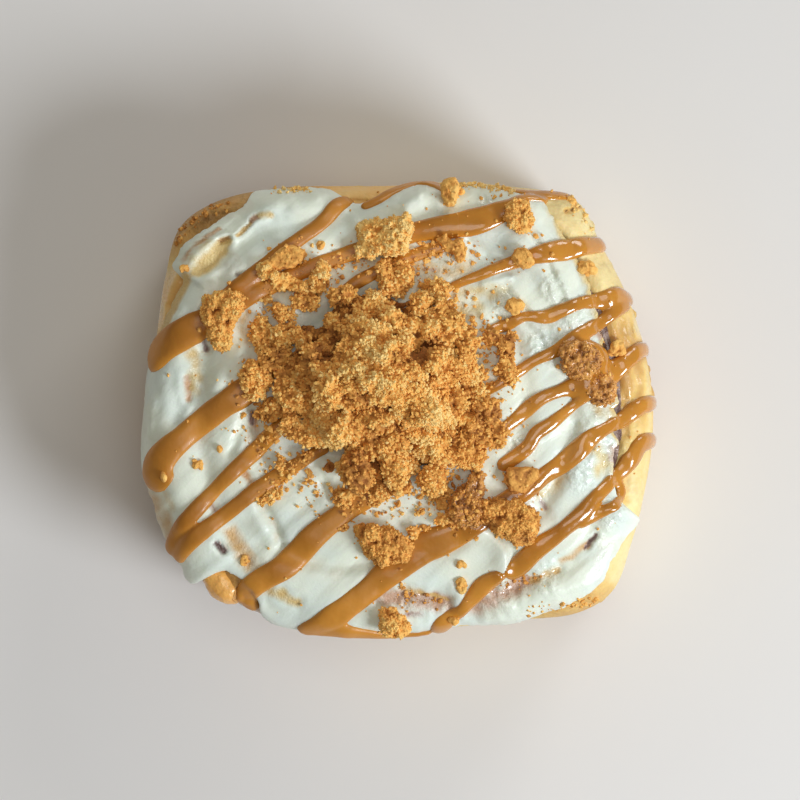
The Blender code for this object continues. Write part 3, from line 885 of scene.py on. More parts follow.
@dataclass
class DoughRoll:
    """The wound strip of dough, torn where it was pulled from its neighbours and browned elsewhere."""

    form: RollForm
    clear: float = 0.45
    foot: float = 3.5
    foot_share: float = 0.3
    tuck_share: float = 0.2
    core_radius: float = 1.5
    groove_half: float = 3.2
    outer_columns: int = 420
    inner_columns: int = 250
    outer_turns: float = 1.06
    face_rows: int = 5
    top_rows: int = 38
    wall_rows: int = 30
    base_rows: int = 14
    # How browned the crust is at bearings round the roll. At bearings 150 to 175 it is paler as painted
    # light on the left strip, which lies in shade.
    crust_table: Table = (
        (0, 0.5), (12, 0.5), (22, 0.22), (38, 0.06), (50, 0.06), (62, 0.14), (78, 0.14), (96, 0.16),
        (108, 0.2), (118, 0.48), (130, 0.58), (142, 0.62), (149, 0.46), (157, 0.12), (168, 0.12),
        (178, 0.3), (192, 0.42), (206, 0.6), (222, 0.52), (236, 0.56), (250, 0.44), (266, 0.3), (284, 0.18),
        (298, 0.28), (309, 0.46), (314, 0.26), (319, 0.06), (338, 0.12), (350, 0.3),
    )
    torn_table: Table = (
        (0, 0.9), (40, 0.9), (62, 0.75), (90, 0.8), (112, 0.5), (130, 0.1), (170, 0.1), (210, 0.15),
        (240, 0.25), (262, 0.6), (296, 0.55), (312, 0.6), (330, 0.9),
    )
    glaze_spots: tuple[tuple[Spot, float], ...] = (
        ((43.6, 13), 4.5), ((46.5, 1), 5.5), ((47, -8.5), 4), ((44, 19), 4.5), ((48.6, 16), 3),
        ((-49.6, 21), 5), ((-47.6, 26.5), 3.5), ((-32.5, -40.5), 5),
    )
    strokes: tuple[Stroke, ...] = tuple(Stroke(*row) for row in (
        # This ridge on the left strip is painted pale along its middle: the dough's golden colour with a
        # painted highlight.
        (RIDGE, ((-51.4, 18), (-50.3, 22), (-49, 25.4), (-47.3, 28.4)), 0.9, 0.7, 0.1),
        (TROUGH, ((-48.6, 22), (-47.2, 25), (-46.2, 27.4)), 1, 0.7, 0.42, 0.9),
        (RIDGE, ((-47.4, 35.6), (-45.4, 38.4), (-43.4, 40.4)), 1, 0.8, 0.5, 0.8),
        (RIDGE, ((-41.8, 41.2), (-38.4, 42.2), (-35, 43.8)), 0.9, 0.6, 0.44, 0.7),
        (TROUGH, ((-43.2, 38), (-40.4, 40), (-37.4, 41.2)), 1, 0.7, 0.7, 0.8),
        (RIDGE, ((-34.6, -37.4), (-32.6, -40.4), (-30.4, -43.8)), 2.8, 0.8, 0.62),
        (TROUGH, ((-29.8, -40.4), (-29.2, -43), (-28.8, -45.4)), 0.6, 0.8, 1),
        # Painted light: this ridge on the top band is painted pale, for light on the top edge.
        (RIDGE, ((-15, 45), (-10, 45.6), (-3, 45.8)), 2.2, 0.9, 0.06, 0.8),
        # Painted shade: the next three troughs on the right side are painted darker.
        (TROUGH, ((47.2, 17.5), (47.2, 14.2), (48.2, 11)), 1, 0.9, 0.46, 0.7),
        (TROUGH, ((47.4, -11.6), (47.4, -16), (48, -20)), 1, 0.8, 0.44, 0.7),
        (TROUGH, ((48, 1.6), (48.4, -1.6), (47.8, -5.6)), 1.1, 0.9, 0.46, 0.8),
        # Painted light: this ridge along the right rim is painted pale.
        (RIDGE, ((52.4, 9), (53, 2), (53, -6), (52.4, -14)), 0.8, 0.3, 0.04, 0.8),
        (RIDGE, ((44, 29.6), (46.6, 25.6)), 1.4, 0.8, 0, 0.6),
        (TROUGH, ((-11, 43.2), (-7, 43.6)), 0.8, 0.7, 0.2, 0.5),
        (TROUGH, ((49.2, 19), (49.2, 16.4), (50.4, 13.6)), 0.5, 0.6, 0, 0),
        (RIDGE, ((50.4, 19.4), (51.6, 15)), 1.2, 0.6, 0, 0.6),
        (RIDGE, ((52.4, 8), (53.2, 3)), 1.1, 0.5, 0.1, 0.5),
        (TROUGH, ((49.4, 7.6), (50.4, 4.4), (49.4, 1.6)), 0.8, 0.7, 0.12, 0.5),
        (TROUGH, ((49.2, -3.4), (50.4, -5.8)), 0.8, 0.6, 0.1, 0.4),
        (TROUGH, ((48.4, -15.6), (49.2, -19)), 1, 0.6, 0.05, 0.5),
        (TROUGH, ((35.2, 41.4), (38.2, 42.6)), 0.5, 1, 0.8, 0.9),
        (RIDGE, ((33.4, 39), (37, 37.6)), 1.6, 0.6, 0.05, 0.8),
        (RIDGE, ((38.4, 32), (41.4, 28.6), (43.6, 25.6)), 2, 0.6, 0.04, 0.8),
        (RIDGE, ((30, -45.2), (37, -43.4), (42.6, -41.2), (44.6, -39)), 1.2, 0.5, 0.42, 0.9),
        (RIDGE, ((45.8, -36.4), (48.4, -32), (51, -27.4)), 1.6, 0.5, 0.02),
        (RIDGE, ((10.6, -46.6), (14, -47.2)), 1.2, 0.5, 0.1),
    ))
    amber_spots: tuple[tuple[Spot, float, float], ...] = (
        ((-12, 45.6), 7, 0.6), ((-4, 45.8), 6, 0.6), ((-33, -40), 5, 0.3), ((-50.4, 17), 5, 0.5),
        ((-48.4, 24), 5, 0.5), ((45, 9), 3, 0.25),
    )
    nub_spot: Triple = (-37.6, -37.9, 35.6)
    nub_size: Triple = (10.4, 7.6, 7.4)
    nub_turn: float = -36.0
    nub_stain: Stroke = Stroke(
        THIN, ((-37.0, -34.4), (-35.4, -36.4), (-34.6, -38.6), (-35.0, -41.0)), 0.7, 0.3,
    )
    fibre_span: float = 2.1
    fibre_run: float = 5.0
    relief_fade: Spot = (0.12, 0.1)
    torn_fade: float = 0.1
    wobble_span: float = 1.6
    dents: float = 0.7
    base_reach: float = 6.0
    base_crust: float = 0.62
    seam_crust: float = 0.4

    def turns_at(self, columns: Array) -> Array:
        """The number of turns in from the tail at columns of the grid."""
        outer = columns / self.outer_columns * self.outer_turns
        rest = self.form.turns - self.outer_turns
        inner = self.outer_turns + (columns - self.outer_columns) / self.inner_columns * rest
        return np.where(columns <= self.outer_columns, outer, inner)

    def wall_relief(self, points: Array, torn: Array) -> Array:
        """How far the roll's side stands out: torn fibres and tufts, or baked wrinkles.

        Args:
            points: Points on the side.
            torn: How torn it is at each.

        Returns:
            The distances.
        """
        fibres = uneven(points * (1.0, 1.0, self.fibre_span / self.fibre_run), self.fibre_span, 3.0)
        tufts = np.abs(uneven(points, 5.5, 9.0)) + 0.5 * np.abs(uneven(points, 2.6, 4.0))
        bulges = uneven(points, 16.0, 7.0)
        wrinkles = 1.1 * np.abs(uneven(points * (1.0, 1.0, 2.2), 9.0, 5.0)) - 0.5
        return torn * (0.75 * fibres + 1.7 * tufts - 0.9) + (1.0 - torn) * wrinkles + 0.8 * bulges

    def top_relief(self, spots: Array, on_top: Array, crust: Array, torn: Array) -> tuple[Array, Array]:
        """What ripples, flakes and marks do to the top of the dough.

        Args:
            spots: Plan points.
            on_top: Which of them are on the top.
            crust: How browned the dough is at each.
            torn: How torn it is at each.

        Returns:
            The height added, and how browned the dough is with its marks, some of whose tones are painted
            light and shade.
        """
        worn = np.zeros(len(spots))
        marked = crust.copy()
        for stroke in self.strokes:
            near = stroke.near(spots)
            near = near[on_top[near]]
            if len(near):
                wobble = 0.5 * uneven(spots[near], self.wobble_span, 6.0)[:, None]
                away, _ = stroke.offsets(spots[near] + wobble)
                reach = bell(away, stroke.half)
                worn[near] += stroke.depth * reach * (1.0 if stroke.mark is RIDGE else -1.0)
                marked[near] = mix(marked[near], stroke.tone, stroke.share * reach)
        ripples = 0.8 * uneven(spots, 6.0, 11.0) + 0.35 * uneven(spots, 2.0, 2.0)
        baked = smooth((crust - 0.5) / 0.12) * (1.0 - torn)
        flakes = np.abs(uneven(spots, 2.6, 4.0)) + 0.6 * np.abs(uneven(spots, 1.2, 8.0))
        return ripples + worn + 1.5 * baked * (0.35 - flakes), marked

    def place(self, columns: Array, rows: Array) -> Placed:
        """The points of the strip's skin, and how browned and torn it is there, with some painted light and
        shade in its browning.

        Args:
            columns: Steps along the strip from its tail.
            rows: Steps round its section: up the inner face, over the top, down the outer face, in below.

        Returns:
            The points, and the values of the finish.
        """
        form = self.form
        turns = self.turns_at(columns)
        bearings = form.turn_bearing(turns)
        rims = form.rim(bearings)
        bare = 1.0 - smooth((turns - 1.0 + form.tail_notch) / form.tail_notch)
        curl = smooth((turns - form.turns + 1.0) / form.core_curl)
        outer = form.turn_radius(turns) - self.clear * (1.0 - bare)
        inner = mix(form.turn_radius(turns + 1.0) + self.clear, self.core_radius, curl)
        width = outer - inner
        tuck = bare * np.minimum(form.wall_tuck, self.tuck_share * width)
        foot = bare * np.minimum(self.foot, self.foot_share * width)

        top_start = self.face_rows
        wall_start = top_start + self.top_rows
        base_start = wall_start + self.wall_rows
        across = 1.0 - passed(rows, top_start, self.top_rows)
        down = passed(rows, wall_start, self.wall_rows)
        back = passed(rows, base_start, self.base_rows)

        radii = outer - width * mix(across, across ** 2, bare)
        near = radii - inner
        near = np.where(turns < 1.0, near, np.minimum(near, outer - radii))
        drop = form.groove_depth * np.maximum(1.0 - near / self.groove_half, 0.0) ** 2 * (1.0 - curl)
        spots = form.plan(bearings, radii)
        heights = form.dome(spots) - drop - form.shoulder_drop(rims - radii)
        tops = heights.copy()

        heights = heights * passed(rows, 0, self.face_rows)
        heights = np.where(rows > wall_start, tops * (1.0 - down), heights)
        heights = np.where(rows > base_start, 0.0, heights)
        rounding = np.maximum(1.0 - heights / self.foot, 0.0)
        sides = outer - tuck * down ** 2 - foot * (1.0 - np.sqrt(np.maximum(1.0 - rounding ** 2, 0.0)))
        radii = np.where(rows > wall_start, sides, radii)
        radii = np.where(rows > base_start, mix(outer - tuck - foot, inner, back), radii)

        crust = around(self.crust_table, bearings)
        torn = around(self.torn_table, bearings)
        top_fade, foot_fade = self.relief_fade
        on_wall = bare * smooth(down / top_fade) * smooth((1.0 - down) / foot_fade) * (rows <= base_start)
        wall = np.column_stack([form.plan(bearings, rims), heights])
        radii = radii + self.wall_relief(wall, torn) * on_wall

        spots = form.plan(bearings, radii)
        on_top = (rows >= top_start) & (rows <= wall_start)
        relief, marked = self.top_relief(spots, on_top, crust, torn)
        heights = heights + np.where(on_top, relief * smooth((rims - radii) / 2.0), 0.0)
        dents = np.maximum(uneven(spots, 5.0, 1.0), 0.0) * self.dents
        on_base = (rows > base_start) & (rows < base_start + self.base_rows)
        heights = np.where(on_base, dents, heights)

        base = smooth(1.0 - heights / self.base_reach)
        crust = marked + 0.05 * down - torn * down * 0.02
        crust = mix(crust, self.base_crust, base * smooth((down + on_base) / 0.3))
        return np.column_stack([spots, heights]), {
            "crust": np.where(turns > 1.0, self.seam_crust + 0.2 * base, crust),
            "torn": torn * smooth(down / self.torn_fade) * (1.0 - base),
            "glaze": patches(spots, self.glaze_spots) * on_top,
            "amber": patches(spots, self.amber_spots) * on_top,
        }

    def nub(self) -> Mesh:
        """The nub of dough where the strip's tail was pressed in, with cracks of filling."""
        shape = bmesh.new()
        bmesh.ops.create_icosphere(shape, subdivisions=6, radius=0.5)
        sized = Matrix.Diagonal((*self.nub_size, 1.0))
        turned = Matrix.Rotation(math.radians(self.nub_turn), 4, "Z") @ sized
        bmesh.ops.transform(shape, matrix=Matrix.Translation(self.nub_spot) @ turned, verts=shape.verts)
        points, normals = places_of(shape)
        wobble = 0.4 * uneven(points, self.wobble_span, 6.0)[:, None]
        away, side = self.nub_stain.offsets(points[:, :2] + wobble)
        crease = bell(away, self.nub_stain.half)
        beside = smooth(0.5 + side / 1.6)
        lumps = 0.6 * uneven(points, 4.2, 2.0) + 0.14 * uneven(points, 1.5, 5.0)
        move_to(shape, points + normals * (lumps - self.nub_stain.depth * crease)[:, None])
        stained = mix(0.3, 0.62, beside) + 0.3 * uneven(points, 2.2, 3.0)
        browned = np.clip(mix(stained, 0.85, crease), 0.05, 0.9)
        set_values(shape, crust=browned, torn=0.2, glaze=0.7, amber=1.0 - 0.4 * crease - 0.3 * beside)
        return shape

    def build(self, material: Material, ground: Ground) -> None:
        """Make the dough and the nub of its tail, and count them as something that toppings lie on."""
        rows = self.face_rows + self.top_rows + self.wall_rows + self.base_rows
        shape = mapped_grid(self.outer_columns + self.inner_columns, rows, self.place)
        nub = self.nub()
        ground.add(shape)
        ground.add(nub)
        finish_piece(self.form, "dough_wound", shape, material, ["dough_roll"])
        finish_piece(self.form, "dough_nub", nub, material, ["dough_roll"])


@dataclass
class CinnamonFilling:
    """The ribbon of filling between the turns of dough, rough along its edges."""

    form: RollForm
    thick: float = 2.1
    rise: float = 0.6
    core_radius: float = 1.2
    columns: int = 620
    face_rows: int = 8
    edge_rows: int = 3

    def place(self, columns: Array, rows: Array) -> Placed:
        """The points of the ribbon's skin.

        Args:
            columns: Steps along it from the first turn in.
            rows: Steps round its section: up the inner face, over the edge, down the outer face, in below.

        Returns:
            The points, and no values.
        """
        form = self.form
        last = form.turns + form.core_curl
        turns = mix(1.0, last, columns / self.columns)
        bearings = form.turn_bearing(turns)
        radii = form.turn_radius(turns)
        spots = form.plan(bearings, radii)
        thick = self.thick * (1.0 + 0.5 * uneven(spots, 4.0, 6.0))
        past = smooth((turns - form.turns) / form.core_curl)
        outer = mix(radii + thick / 2, self.core_radius, past)
        inner = mix(radii - thick / 2, self.core_radius / 3, past)
        half = self.face_rows + self.edge_rows
        up = passed(rows, 0, self.face_rows)
        over = passed(rows, self.face_rows, self.edge_rows)
        down = passed(rows, half, self.face_rows)
        back = passed(rows, half + self.face_rows, self.edge_rows)
        side = over - back
        rounded = form.shoulder_drop(form.rim(bearings) - radii)
        tops = form.dome(spots) - form.groove_depth - rounded + self.rise
        edge = tops + 0.5 * uneven(spots, 1.3, 8.0)
        foot = 0.25 + 0.2 * uneven(spots, 2.0, 4.0)
        heights = mix(foot, edge, np.minimum(up, 1.0 - down))
        bulge = 0.3 * np.sin(np.pi * over) * (up >= 1.0)
        points = np.column_stack([form.plan(bearings, mix(inner, outer, side)), heights + bulge])
        return points, {}

    def build(self, material: Material, ground: Ground) -> None:
        """Make the ribbon of filling, and count it as something that toppings lie on."""
        shape = mapped_grid(self.columns, 2 * (self.face_rows + self.edge_rows), self.place)
        ground.add(shape)
        finish_piece(self.form, "filling_ribbon", shape, material, ["cinnamon_filling"])


# ---- the icing ----


@dataclass
class IcingSheet:
    """The sheet of icing: it sinks over the seams, shows the knife's drags and thins to the dough."""

    form: RollForm
    thick: float = 2.6
    edge_thick_table: Table = (
        (0, 0.6), (45, 0.6), (70, 1), (90, 0.8), (130, 1.2), (180, 1.1), (222, 1.7), (245, 1.3), (270, 0.8),
        (300, 0.9), (320, 1.3), (332, 1.1), (340, 0.6),
    )
    fade_table: Table = ((0, 0.9), (20, 0.9), (45, 0.8), (58, 0.3), (70, 0), (200, 0), (328, 0), (342, 0.8))
    fade_run: float = 1.8
    stringy: float = 1.3
    stringy_table: Table = ((0, 1), (16, 1), (26, 0.3), (50, 0), (200, 0), (338, 0), (346, 0.8))
    edge_run: float = 6.0
    calm_turns: tuple[float, ...] = (-14.0, -7.0, 0.0, 7.0, 14.0)
    calm_share: float = 0.74
    under_lift: float = -0.8
    under_reach: float = 3.0
    groove_depth: float = 1.7
    groove_half: float = 2.2
    sectors: int = 640
    top_rows: int = 102
    edge_rows: int = 6
    under_rows: int = 6
    drag_bearing: float = 42.0
    drag_long: float = 26.0
    drag_wide: float = 4.2
    drag_depth: float = 0.55
    mottled: float = 0.36
    mottled_span: float = 6.5
    mottled_tone: float = 0.68
    plain_tone: float = 0.08
    wobble: float = 0.3
    wobble_span: float = 1.8
    lip_steep: float = 0.3
    opening_steep: float = 0.6
    thin_steep: float = 1.1
    rim_rise: float = 0.22
    least: float = 0.12
    glaze_spots: tuple[tuple[Spot, float], ...] = (
        ((42, 13), 4.5), ((43.5, 0.5), 5), ((41, -8.5), 6), ((38, 18.5), 4.5), ((31, 13), 4.5),
        ((38.5, -14), 4.5), ((27.5, -17.5), 4), ((22, 22), 3), ((33, 25), 3.5), ((26, -8), 3.5),
        ((44.5, -23), 4), ((19, 43), 2.5), ((2.5, -41.2), 3.5), ((21, -40.2), 4), ((30.5, -36.6), 3.5),
    )
    wrinkle_span: float = 2.3
    wrinkle_depth: float = 0.75
    edge_points: tuple[Spot, ...] = (
        (44.8, 4.2), (43.8, 7), (42.7, 10.5), (41.9, 13.8), (41.4, 17.2), (41.2, 20.8), (40.2, 24.6),
        (39, 27.8), (37.6, 30.8), (35.4, 34.6), (33.8, 37.3), (32.2, 40.2), (30.4, 43.2), (28, 44.6),
        (24, 45.4), (20, 46.4), (15, 47.4), (11, 46), (8, 46.4), (4, 46.8), (0, 45.6), (-3, 44.4),
        (-6.5, 43.4), (-9.5, 43), (-12.2, 44.4), (-15, 45.8), (-18.5, 46.4), (-22, 46), (-27, 46.2),
        (-31.4, 45.4), (-32.2, 43.4), (-34.4, 41.5), (-37.2, 40.3), (-39.4, 38.3), (-43, 36.2), (-45.9, 34),
        (-47.4, 31.6), (-48.2, 29.2), (-45.8, 26.6), (-47.3, 23.8), (-48.9, 20.4), (-50.4, 16.8),
        (-52.2, 13.6), (-53.6, 8.8), (-54.6, 4), (-55.1, -2), (-55.6, -8), (-55.6, -12), (-54.4, -16),
        (-52.6, -20), (-51.2, -24.5), (-49.8, -29), (-48.4, -32.2), (-46.4, -33.9), (-45.8, -36),
        (-44.2, -37.9), (-42, -36.9), (-39.6, -35.4), (-37, -34.5), (-35, -35.2), (-32.6, -37),
        (-30.9, -38.8), (-30, -41.6), (-29.3, -44.6), (-26, -47.2), (-22, -48), (-12, -49.6), (-4, -49.6),
        (4, -48.9), (12, -46.9), (19, -46.8), (24, -46.2), (27.5, -45.2), (30.5, -44), (34, -43),
        (37.6, -41), (40.6, -39), (42.7, -36.8), (44.2, -33.6), (46.4, -29.8), (48.8, -26.4), (50.2, -25),
        (50.5, -23.5), (48.2, -21.6), (46, -19.6), (45.2, -16.6), (45, -12.6), (45.1, -8.6), (45.5, -5),
        (45.4, -1.6), (45.1, 1.4),
    )
    strokes: tuple[Stroke, ...] = tuple(Stroke(*row) for row in (
        (RIDGE, ((-47.5, 17.5), (-34.2, 29.5), (-17, 43.5)), 3, 0.8),
        (RIDGE, ((-36.5, 33.5), (-30.5, 38.5), (-23, 43.5)), 1.8, 0.5),
        (TROUGH, ((-44, 26.6), (-33, 35.5), (-24, 41.5)), 1, 0.5),
        (THIN, ((-45, 28.8), (-43.2, 32), (-40.6, 34.8)), 1.3, 0.5, 0.1, 0.6),
        (OPENING, ((-43.2, 28.4), (-40.2, 31.4), (-36.8, 34.9)), 1.1, 0.5, 0.1),
        (OPENING, ((-41.6, 29.8), (-39.9, 31.6), (-38.2, 33.4)), 1.9, 0.8, 0.12),
        (OPENING, ((-50.4, 14), (-48.8, 18), (-46.6, 24), (-45.2, 27)), 1.3, 0.3, 0.18),
        (RIDGE, ((-49.6, 15.6), (-48, 19.6), (-46.6, 23)), 0.4, 0.5),
        (RIDGE, ((-44.6, 28.8), (-43.2, 31.4), (-41.2, 33.8), (-39.2, 35.4)), 0.5, 0.7),
        (OPENING, ((-38, 35.1), (-36.7, 35.7)), 0.6, 1.2, 0.42),
        (OPENING, ((-34.6, 36.2), (-32.8, 37.8), (-31.6, 39)), 0.5, 0.6, 0.24),
        (OPENING, ((-31.5, 39.2), (-30.5, 40)), 0.5, 0.6, 0.62),
        (THIN, ((-45.6, 30.6), (-43.6, 33.5), (-41, 35.8), (-38.2, 37.5)), 0.45, 0.6, 0.5),
        (THIN, ((-47.2, 29.4), (-45.4, 33.2), (-42, 36.2), (-38.8, 38)), 1.2, 0.3, 0.78, 0.3),
        (THIN, ((-30, 40.1), (-27.2, 40.4)), 0.6, 0.5, 0.12),
        (THIN, ((-44.4, 13), (-43.6, 8.6), (-44, 3.4)), 1.6, 1, 0.14, 0.85),
        (THIN, ((-45.4, 6), (-44.9, 1.4)), 0.8, 1.2, 0.55),
        (THIN, ((-41.9, 13.6), (-41.2, 12.2)), 0.8, 1.2, 0.94),
        (THIN, ((-32.6, 20), (-33.6, 17), (-32.4, 13.6)), 1.3, 0.8, 0.16, 0.6),
        (THIN, ((-31.6, -1.6), (-31.6, -3.4)), 0.8, 1, 0.9),
        (THIN, ((-30.6, -2.4), (-31, -6), (-31.6, -8.6)), 1.8, 1.2, 0.56, 0.7),
        (THIN, ((-40.4, -21), (-39.4, -22)), 0.8, 0.8, 0.78),
        (THIN, ((-33.2, -14), (-31.8, -15.8)), 0.9, 0.8, 0.5),
        (THIN, ((-28.2, -38.4), (-25, -39.8), (-21.8, -41.4)), 1.1, 0.9, 0.14),
        (THIN, ((2.4, 30), (7.3, 29), (14, 28.4)), 2.4, 0.7, 0.3, 0.7),
        (THIN, ((5.4, 29), (7.4, 28.8)), 0.5, 0.6, 0.66),
        (THIN, ((12, 23.4), (16, 24.2), (21, 24.4)), 2, 0.8, 0.04, 0.7),
        (THIN, ((11, 20.4), (14.6, 19.4), (16.4, 20.6)), 2, 0.9, 0.08, 0.8),
        (THIN, ((-52.4, -18.4), (-50.4, -22.4), (-48, -27.4)), 2, 1.2, 0.42, 0.8),
        (THIN, ((-49.2, -18.6), (-47.6, -21.6)), 1.2, 0.8, 0.2, 0.6),
        (THIN, ((-36, -27), (-34.4, -29.8), (-32, -33.6)), 2, 0.6, 0.38, 0.95),
        (THIN, ((-33, -32.4), (-31.8, -33.6)), 0.6, 0.6, 0.7, 0.9),
        (THIN, ((-34.6, 27.9), (-33.8, 27.5)), 0.6, 0.8, 0.9),
        (THIN, ((-29, -21.5), (-27.4, -24.4), (-26, -27.8)), 1.8, 0.5, 0.44, 0.45),
        (THIN, ((-5, -39.9), (3.1, -41), (9.9, -41.9)), 1.9, 1.2, 0.66),
        (THIN, ((1.4, -43.6), (4.6, -43.4)), 0.7, 0.5, 0.82, 0.9),
        (THIN, ((0.8, -38.9), (5.2, -40), (10, -41.2)), 0.9, 0.8, 0.28, 0.9),
        (THIN, ((15.5, -42.2), (20.6, -39.8), (26.6, -37.6)), 1.8, 1.2, 0.66),
        (THIN, ((20.8, -40), (25.5, -38.4), (33, -34.8)), 1, 1, 0.3, 0.9),
        (THIN, ((34, -33), (36.6, -31.6), (39.4, -29.4)), 0.9, 1.2, 0.4, 0.9),
        (OPENING, ((39.2, -30), (41.4, -27.4)), 0.55, 1.2, 0.86),
        (OPENING, ((-38.9, -29.3), (-38.2, -30.1), (-37.6, -30.8)), 0.85, 0.55, 0.98),
        (THIN, ((29, -19), (31.4, -18.4), (34, -15)), 1.3, 0.9, 0.1, 0.7),
        (THIN, ((29.8, -20.4), (30.6, -21.6)), 0.6, 0.8, 0.84),
        (THIN, ((40.6, -8), (42.4, -10.6), (42, -14)), 1.7, 0.8, 0.04, 0.8),
        (THIN, ((41, 1), (42.6, -1.4), (44.4, -2.6)), 1.4, 0.9, 0.12, 0.7),
        (LIP, ((22.2, -36), (22, -31), (20, -28), (16.6, -26.2)), 2.6, 1.2),
        (TROUGH, ((24.4, -36), (24, -31.5), (22.4, -28.4)), 1.2, 0.5),
        (RIDGE, ((13.4, -43.4), (12.4, -41), (11.2, -38.6)), 1.3, 0.7),
        (RIDGE, ((33.9, -24.6), (42.5, -22.4), (50, -22.4)), 1.7, 0.5),
        (TROUGH, ((33, -35.4), (41, -31), (47, -24.6)), 1.4, 0.4),
        (RIDGE, ((18, -44.2), (29, -41.4), (39, -37.6)), 1.8, 0.6),
        (TROUGH, ((26.6, 38.4), (28.4, 35.8), (30.2, 33.4)), 0.8, 0.8),
        (TROUGH, ((31.4, 29.6), (32.9, 26.2), (34.6, 22.4)), 0.8, 1),
        (TROUGH, ((22.4, 24.6), (24.6, 22.4), (27, 20)), 0.8, 0.8),
        (TROUGH, ((14.6, 35.2), (17.2, 33.2), (20.4, 30.6)), 0.8, 0.6),
        (TROUGH, ((26.2, 17.6), (28.4, 15.6), (30.2, 13.2)), 0.7, 0.6),
        (RIDGE, ((17.6, 25.6), (20.6, 26.6), (23.6, 27.4)), 0.8, 0.7),
        (TROUGH, ((-29.7, -20.2), (-27.8, -23.4), (-26.3, -26.2), (-25, -29.2)), 0.9, 1),
        (TROUGH, ((-18.4, -12.6), (-16.4, -15.2), (-14.8, -19.2)), 0.9, 0.9),
        (TROUGH, ((-33.4, -2), (-34.4, -6), (-36, -10)), 1, 0.8),
        (RIDGE, ((-51, 1.6), (-51.6, -2.6), (-52.2, -6.2)), 0.7, 0.6),
        (TROUGH, ((-47.6, 5.4), (-47, 0), (-47.6, -3.4)), 1.4, 0.8),
        (RIDGE, ((-39.4, 4.4), (-36.6, 8.4), (-33, 12.6)), 1.8, 0.8),
        (RIDGE, ((-31.4, -21), (-30, -25), (-27.6, -29.4)), 1.4, 0.5),
        (RIDGE, ((-9.5, 39.5), (-3, 42), (4, 42.6)), 1.2, 0.6),
        (RIDGE, ((1.6, 41.6), (4.6, 44.4), (7.8, 43.6)), 1.8, 0.8),
        (RIDGE, ((-24.6, 22.6), (-23, 20.6)), 2, 1.2),
        (RIDGE, ((-34.4, 25.2), (-31, 24.6)), 1.6, 0.7),
        (TROUGH, ((37, -4), (36.4, -8.6), (34.2, -11)), 0.9, 0.6),
    ))

    def __post_init__(self) -> None:
        """Read the edge as insets from the roll's rim."""
        bearings, insets = self.form.locate(np.array(self.edge_points))
        self.edge_table: Table = tuple(sorted(zip(bearings.tolist(), insets.tolist())))

    def edge(self, bearings: Array) -> Array:
        """The inset of the icing's ragged edge at bearings."""
        rims = self.form.plan(bearings, self.form.rim(bearings))
        ragged = 0.3 * uneven(rims, 4.5, 5.0) + 0.34 * uneven(rims, 1.6, 2.0) + 0.2 * uneven(rims, 0.7, 4.0)
        ragged += self.stringy * around(self.stringy_table, bearings) * (uneven(rims, 2.3, 8.0) - 0.25)
        return around(self.edge_table, bearings) + ragged

    def relief(self, spots: Array) -> tuple[Array, Array, Array]:
        """What the knife and the seams do to the icing's top.

        Args:
            spots: Plan points.

        Returns:
            The height added, the share of cover that is left, and the tone of what shows through.
        """
        form = self.form
        bearings, insets = form.locate(spots)
        radii = form.rim(bearings) - insets
        turned = math.radians(self.drag_bearing)
        along = spots @ np.array([math.cos(turned), math.sin(turned)])
        across = spots @ np.array([-math.sin(turned), math.cos(turned)])
        drags = np.column_stack([along * self.drag_wide / self.drag_long, across])
        added = self.drag_depth * uneven(drags, self.drag_wide, 4.0)
        added += 0.08 * uneven(drags, self.drag_wide / 2.7, 1.0)
        added += 0.5 * uneven(spots, 14.0, 6.0)
        creased = np.abs(uneven(spots, self.wrinkle_span, 3.0))
        creased += 0.5 * np.abs(uneven(spots, 0.5 * self.wrinkle_span, 9.0))
        added += self.wrinkle_depth * patches(spots, self.glaze_spots) * (0.35 - creased)
        seams = form.seam_distance(bearings, radii)
        filled = 0.55 + 0.45 * uneven(spots, 14.0, 12.0)
        added -= self.groove_depth * filled * bell(seams, self.groove_half)
        mottled = smooth((uneven(spots, self.mottled_span, 15.0) - 0.16) / 0.3)
        cover = 1.0 - self.mottled * mottled
        tone = np.where(mottled > 0.02, self.mottled_tone, self.plain_tone)
        for stroke in self.strokes:
            near = stroke.near(spots)
            if not len(near):
                continue
            wobble = [uneven(spots[near], self.wobble_span, seed) for seed in (1.0, 7.0)]
            away, side = stroke.offsets(spots[near] + self.wobble * np.column_stack(wobble))
            if stroke.mark is RIDGE:
                added[near] += stroke.depth * bell(away, stroke.half)
            elif stroke.mark is TROUGH:
                added[near] -= stroke.depth * bell(away, stroke.half)
            elif stroke.mark is LIP:
                half = np.where(side > 0.0, 1.0, self.lip_steep) * stroke.half
                added[near] += stroke.depth * bell(away, half)
            else:
                steep = self.opening_steep if stroke.mark is OPENING else self.thin_steep
                run = 2 * steep * stroke.half + 0.2
                open_here = stroke.share * smooth(0.5 + (stroke.half - away) / run)
                if stroke.mark is THIN:
                    open_here = open_here * (0.9 + 0.4 * uneven(spots[near], 1.7, 5.0))
                added[near] -= stroke.depth * open_here
                if stroke.mark is OPENING:
                    added[near] += self.rim_rise * bell(away - 1.5 * stroke.half, 0.5 * stroke.half)
                strong = open_here > 1.0 - cover[near]
                cover[near] = np.minimum(cover[near], 1.0 - np.clip(open_here, 0.0, 1.0))
                tone[near] = np.where(strong, stroke.tone, tone[near])
        return added, cover, tone

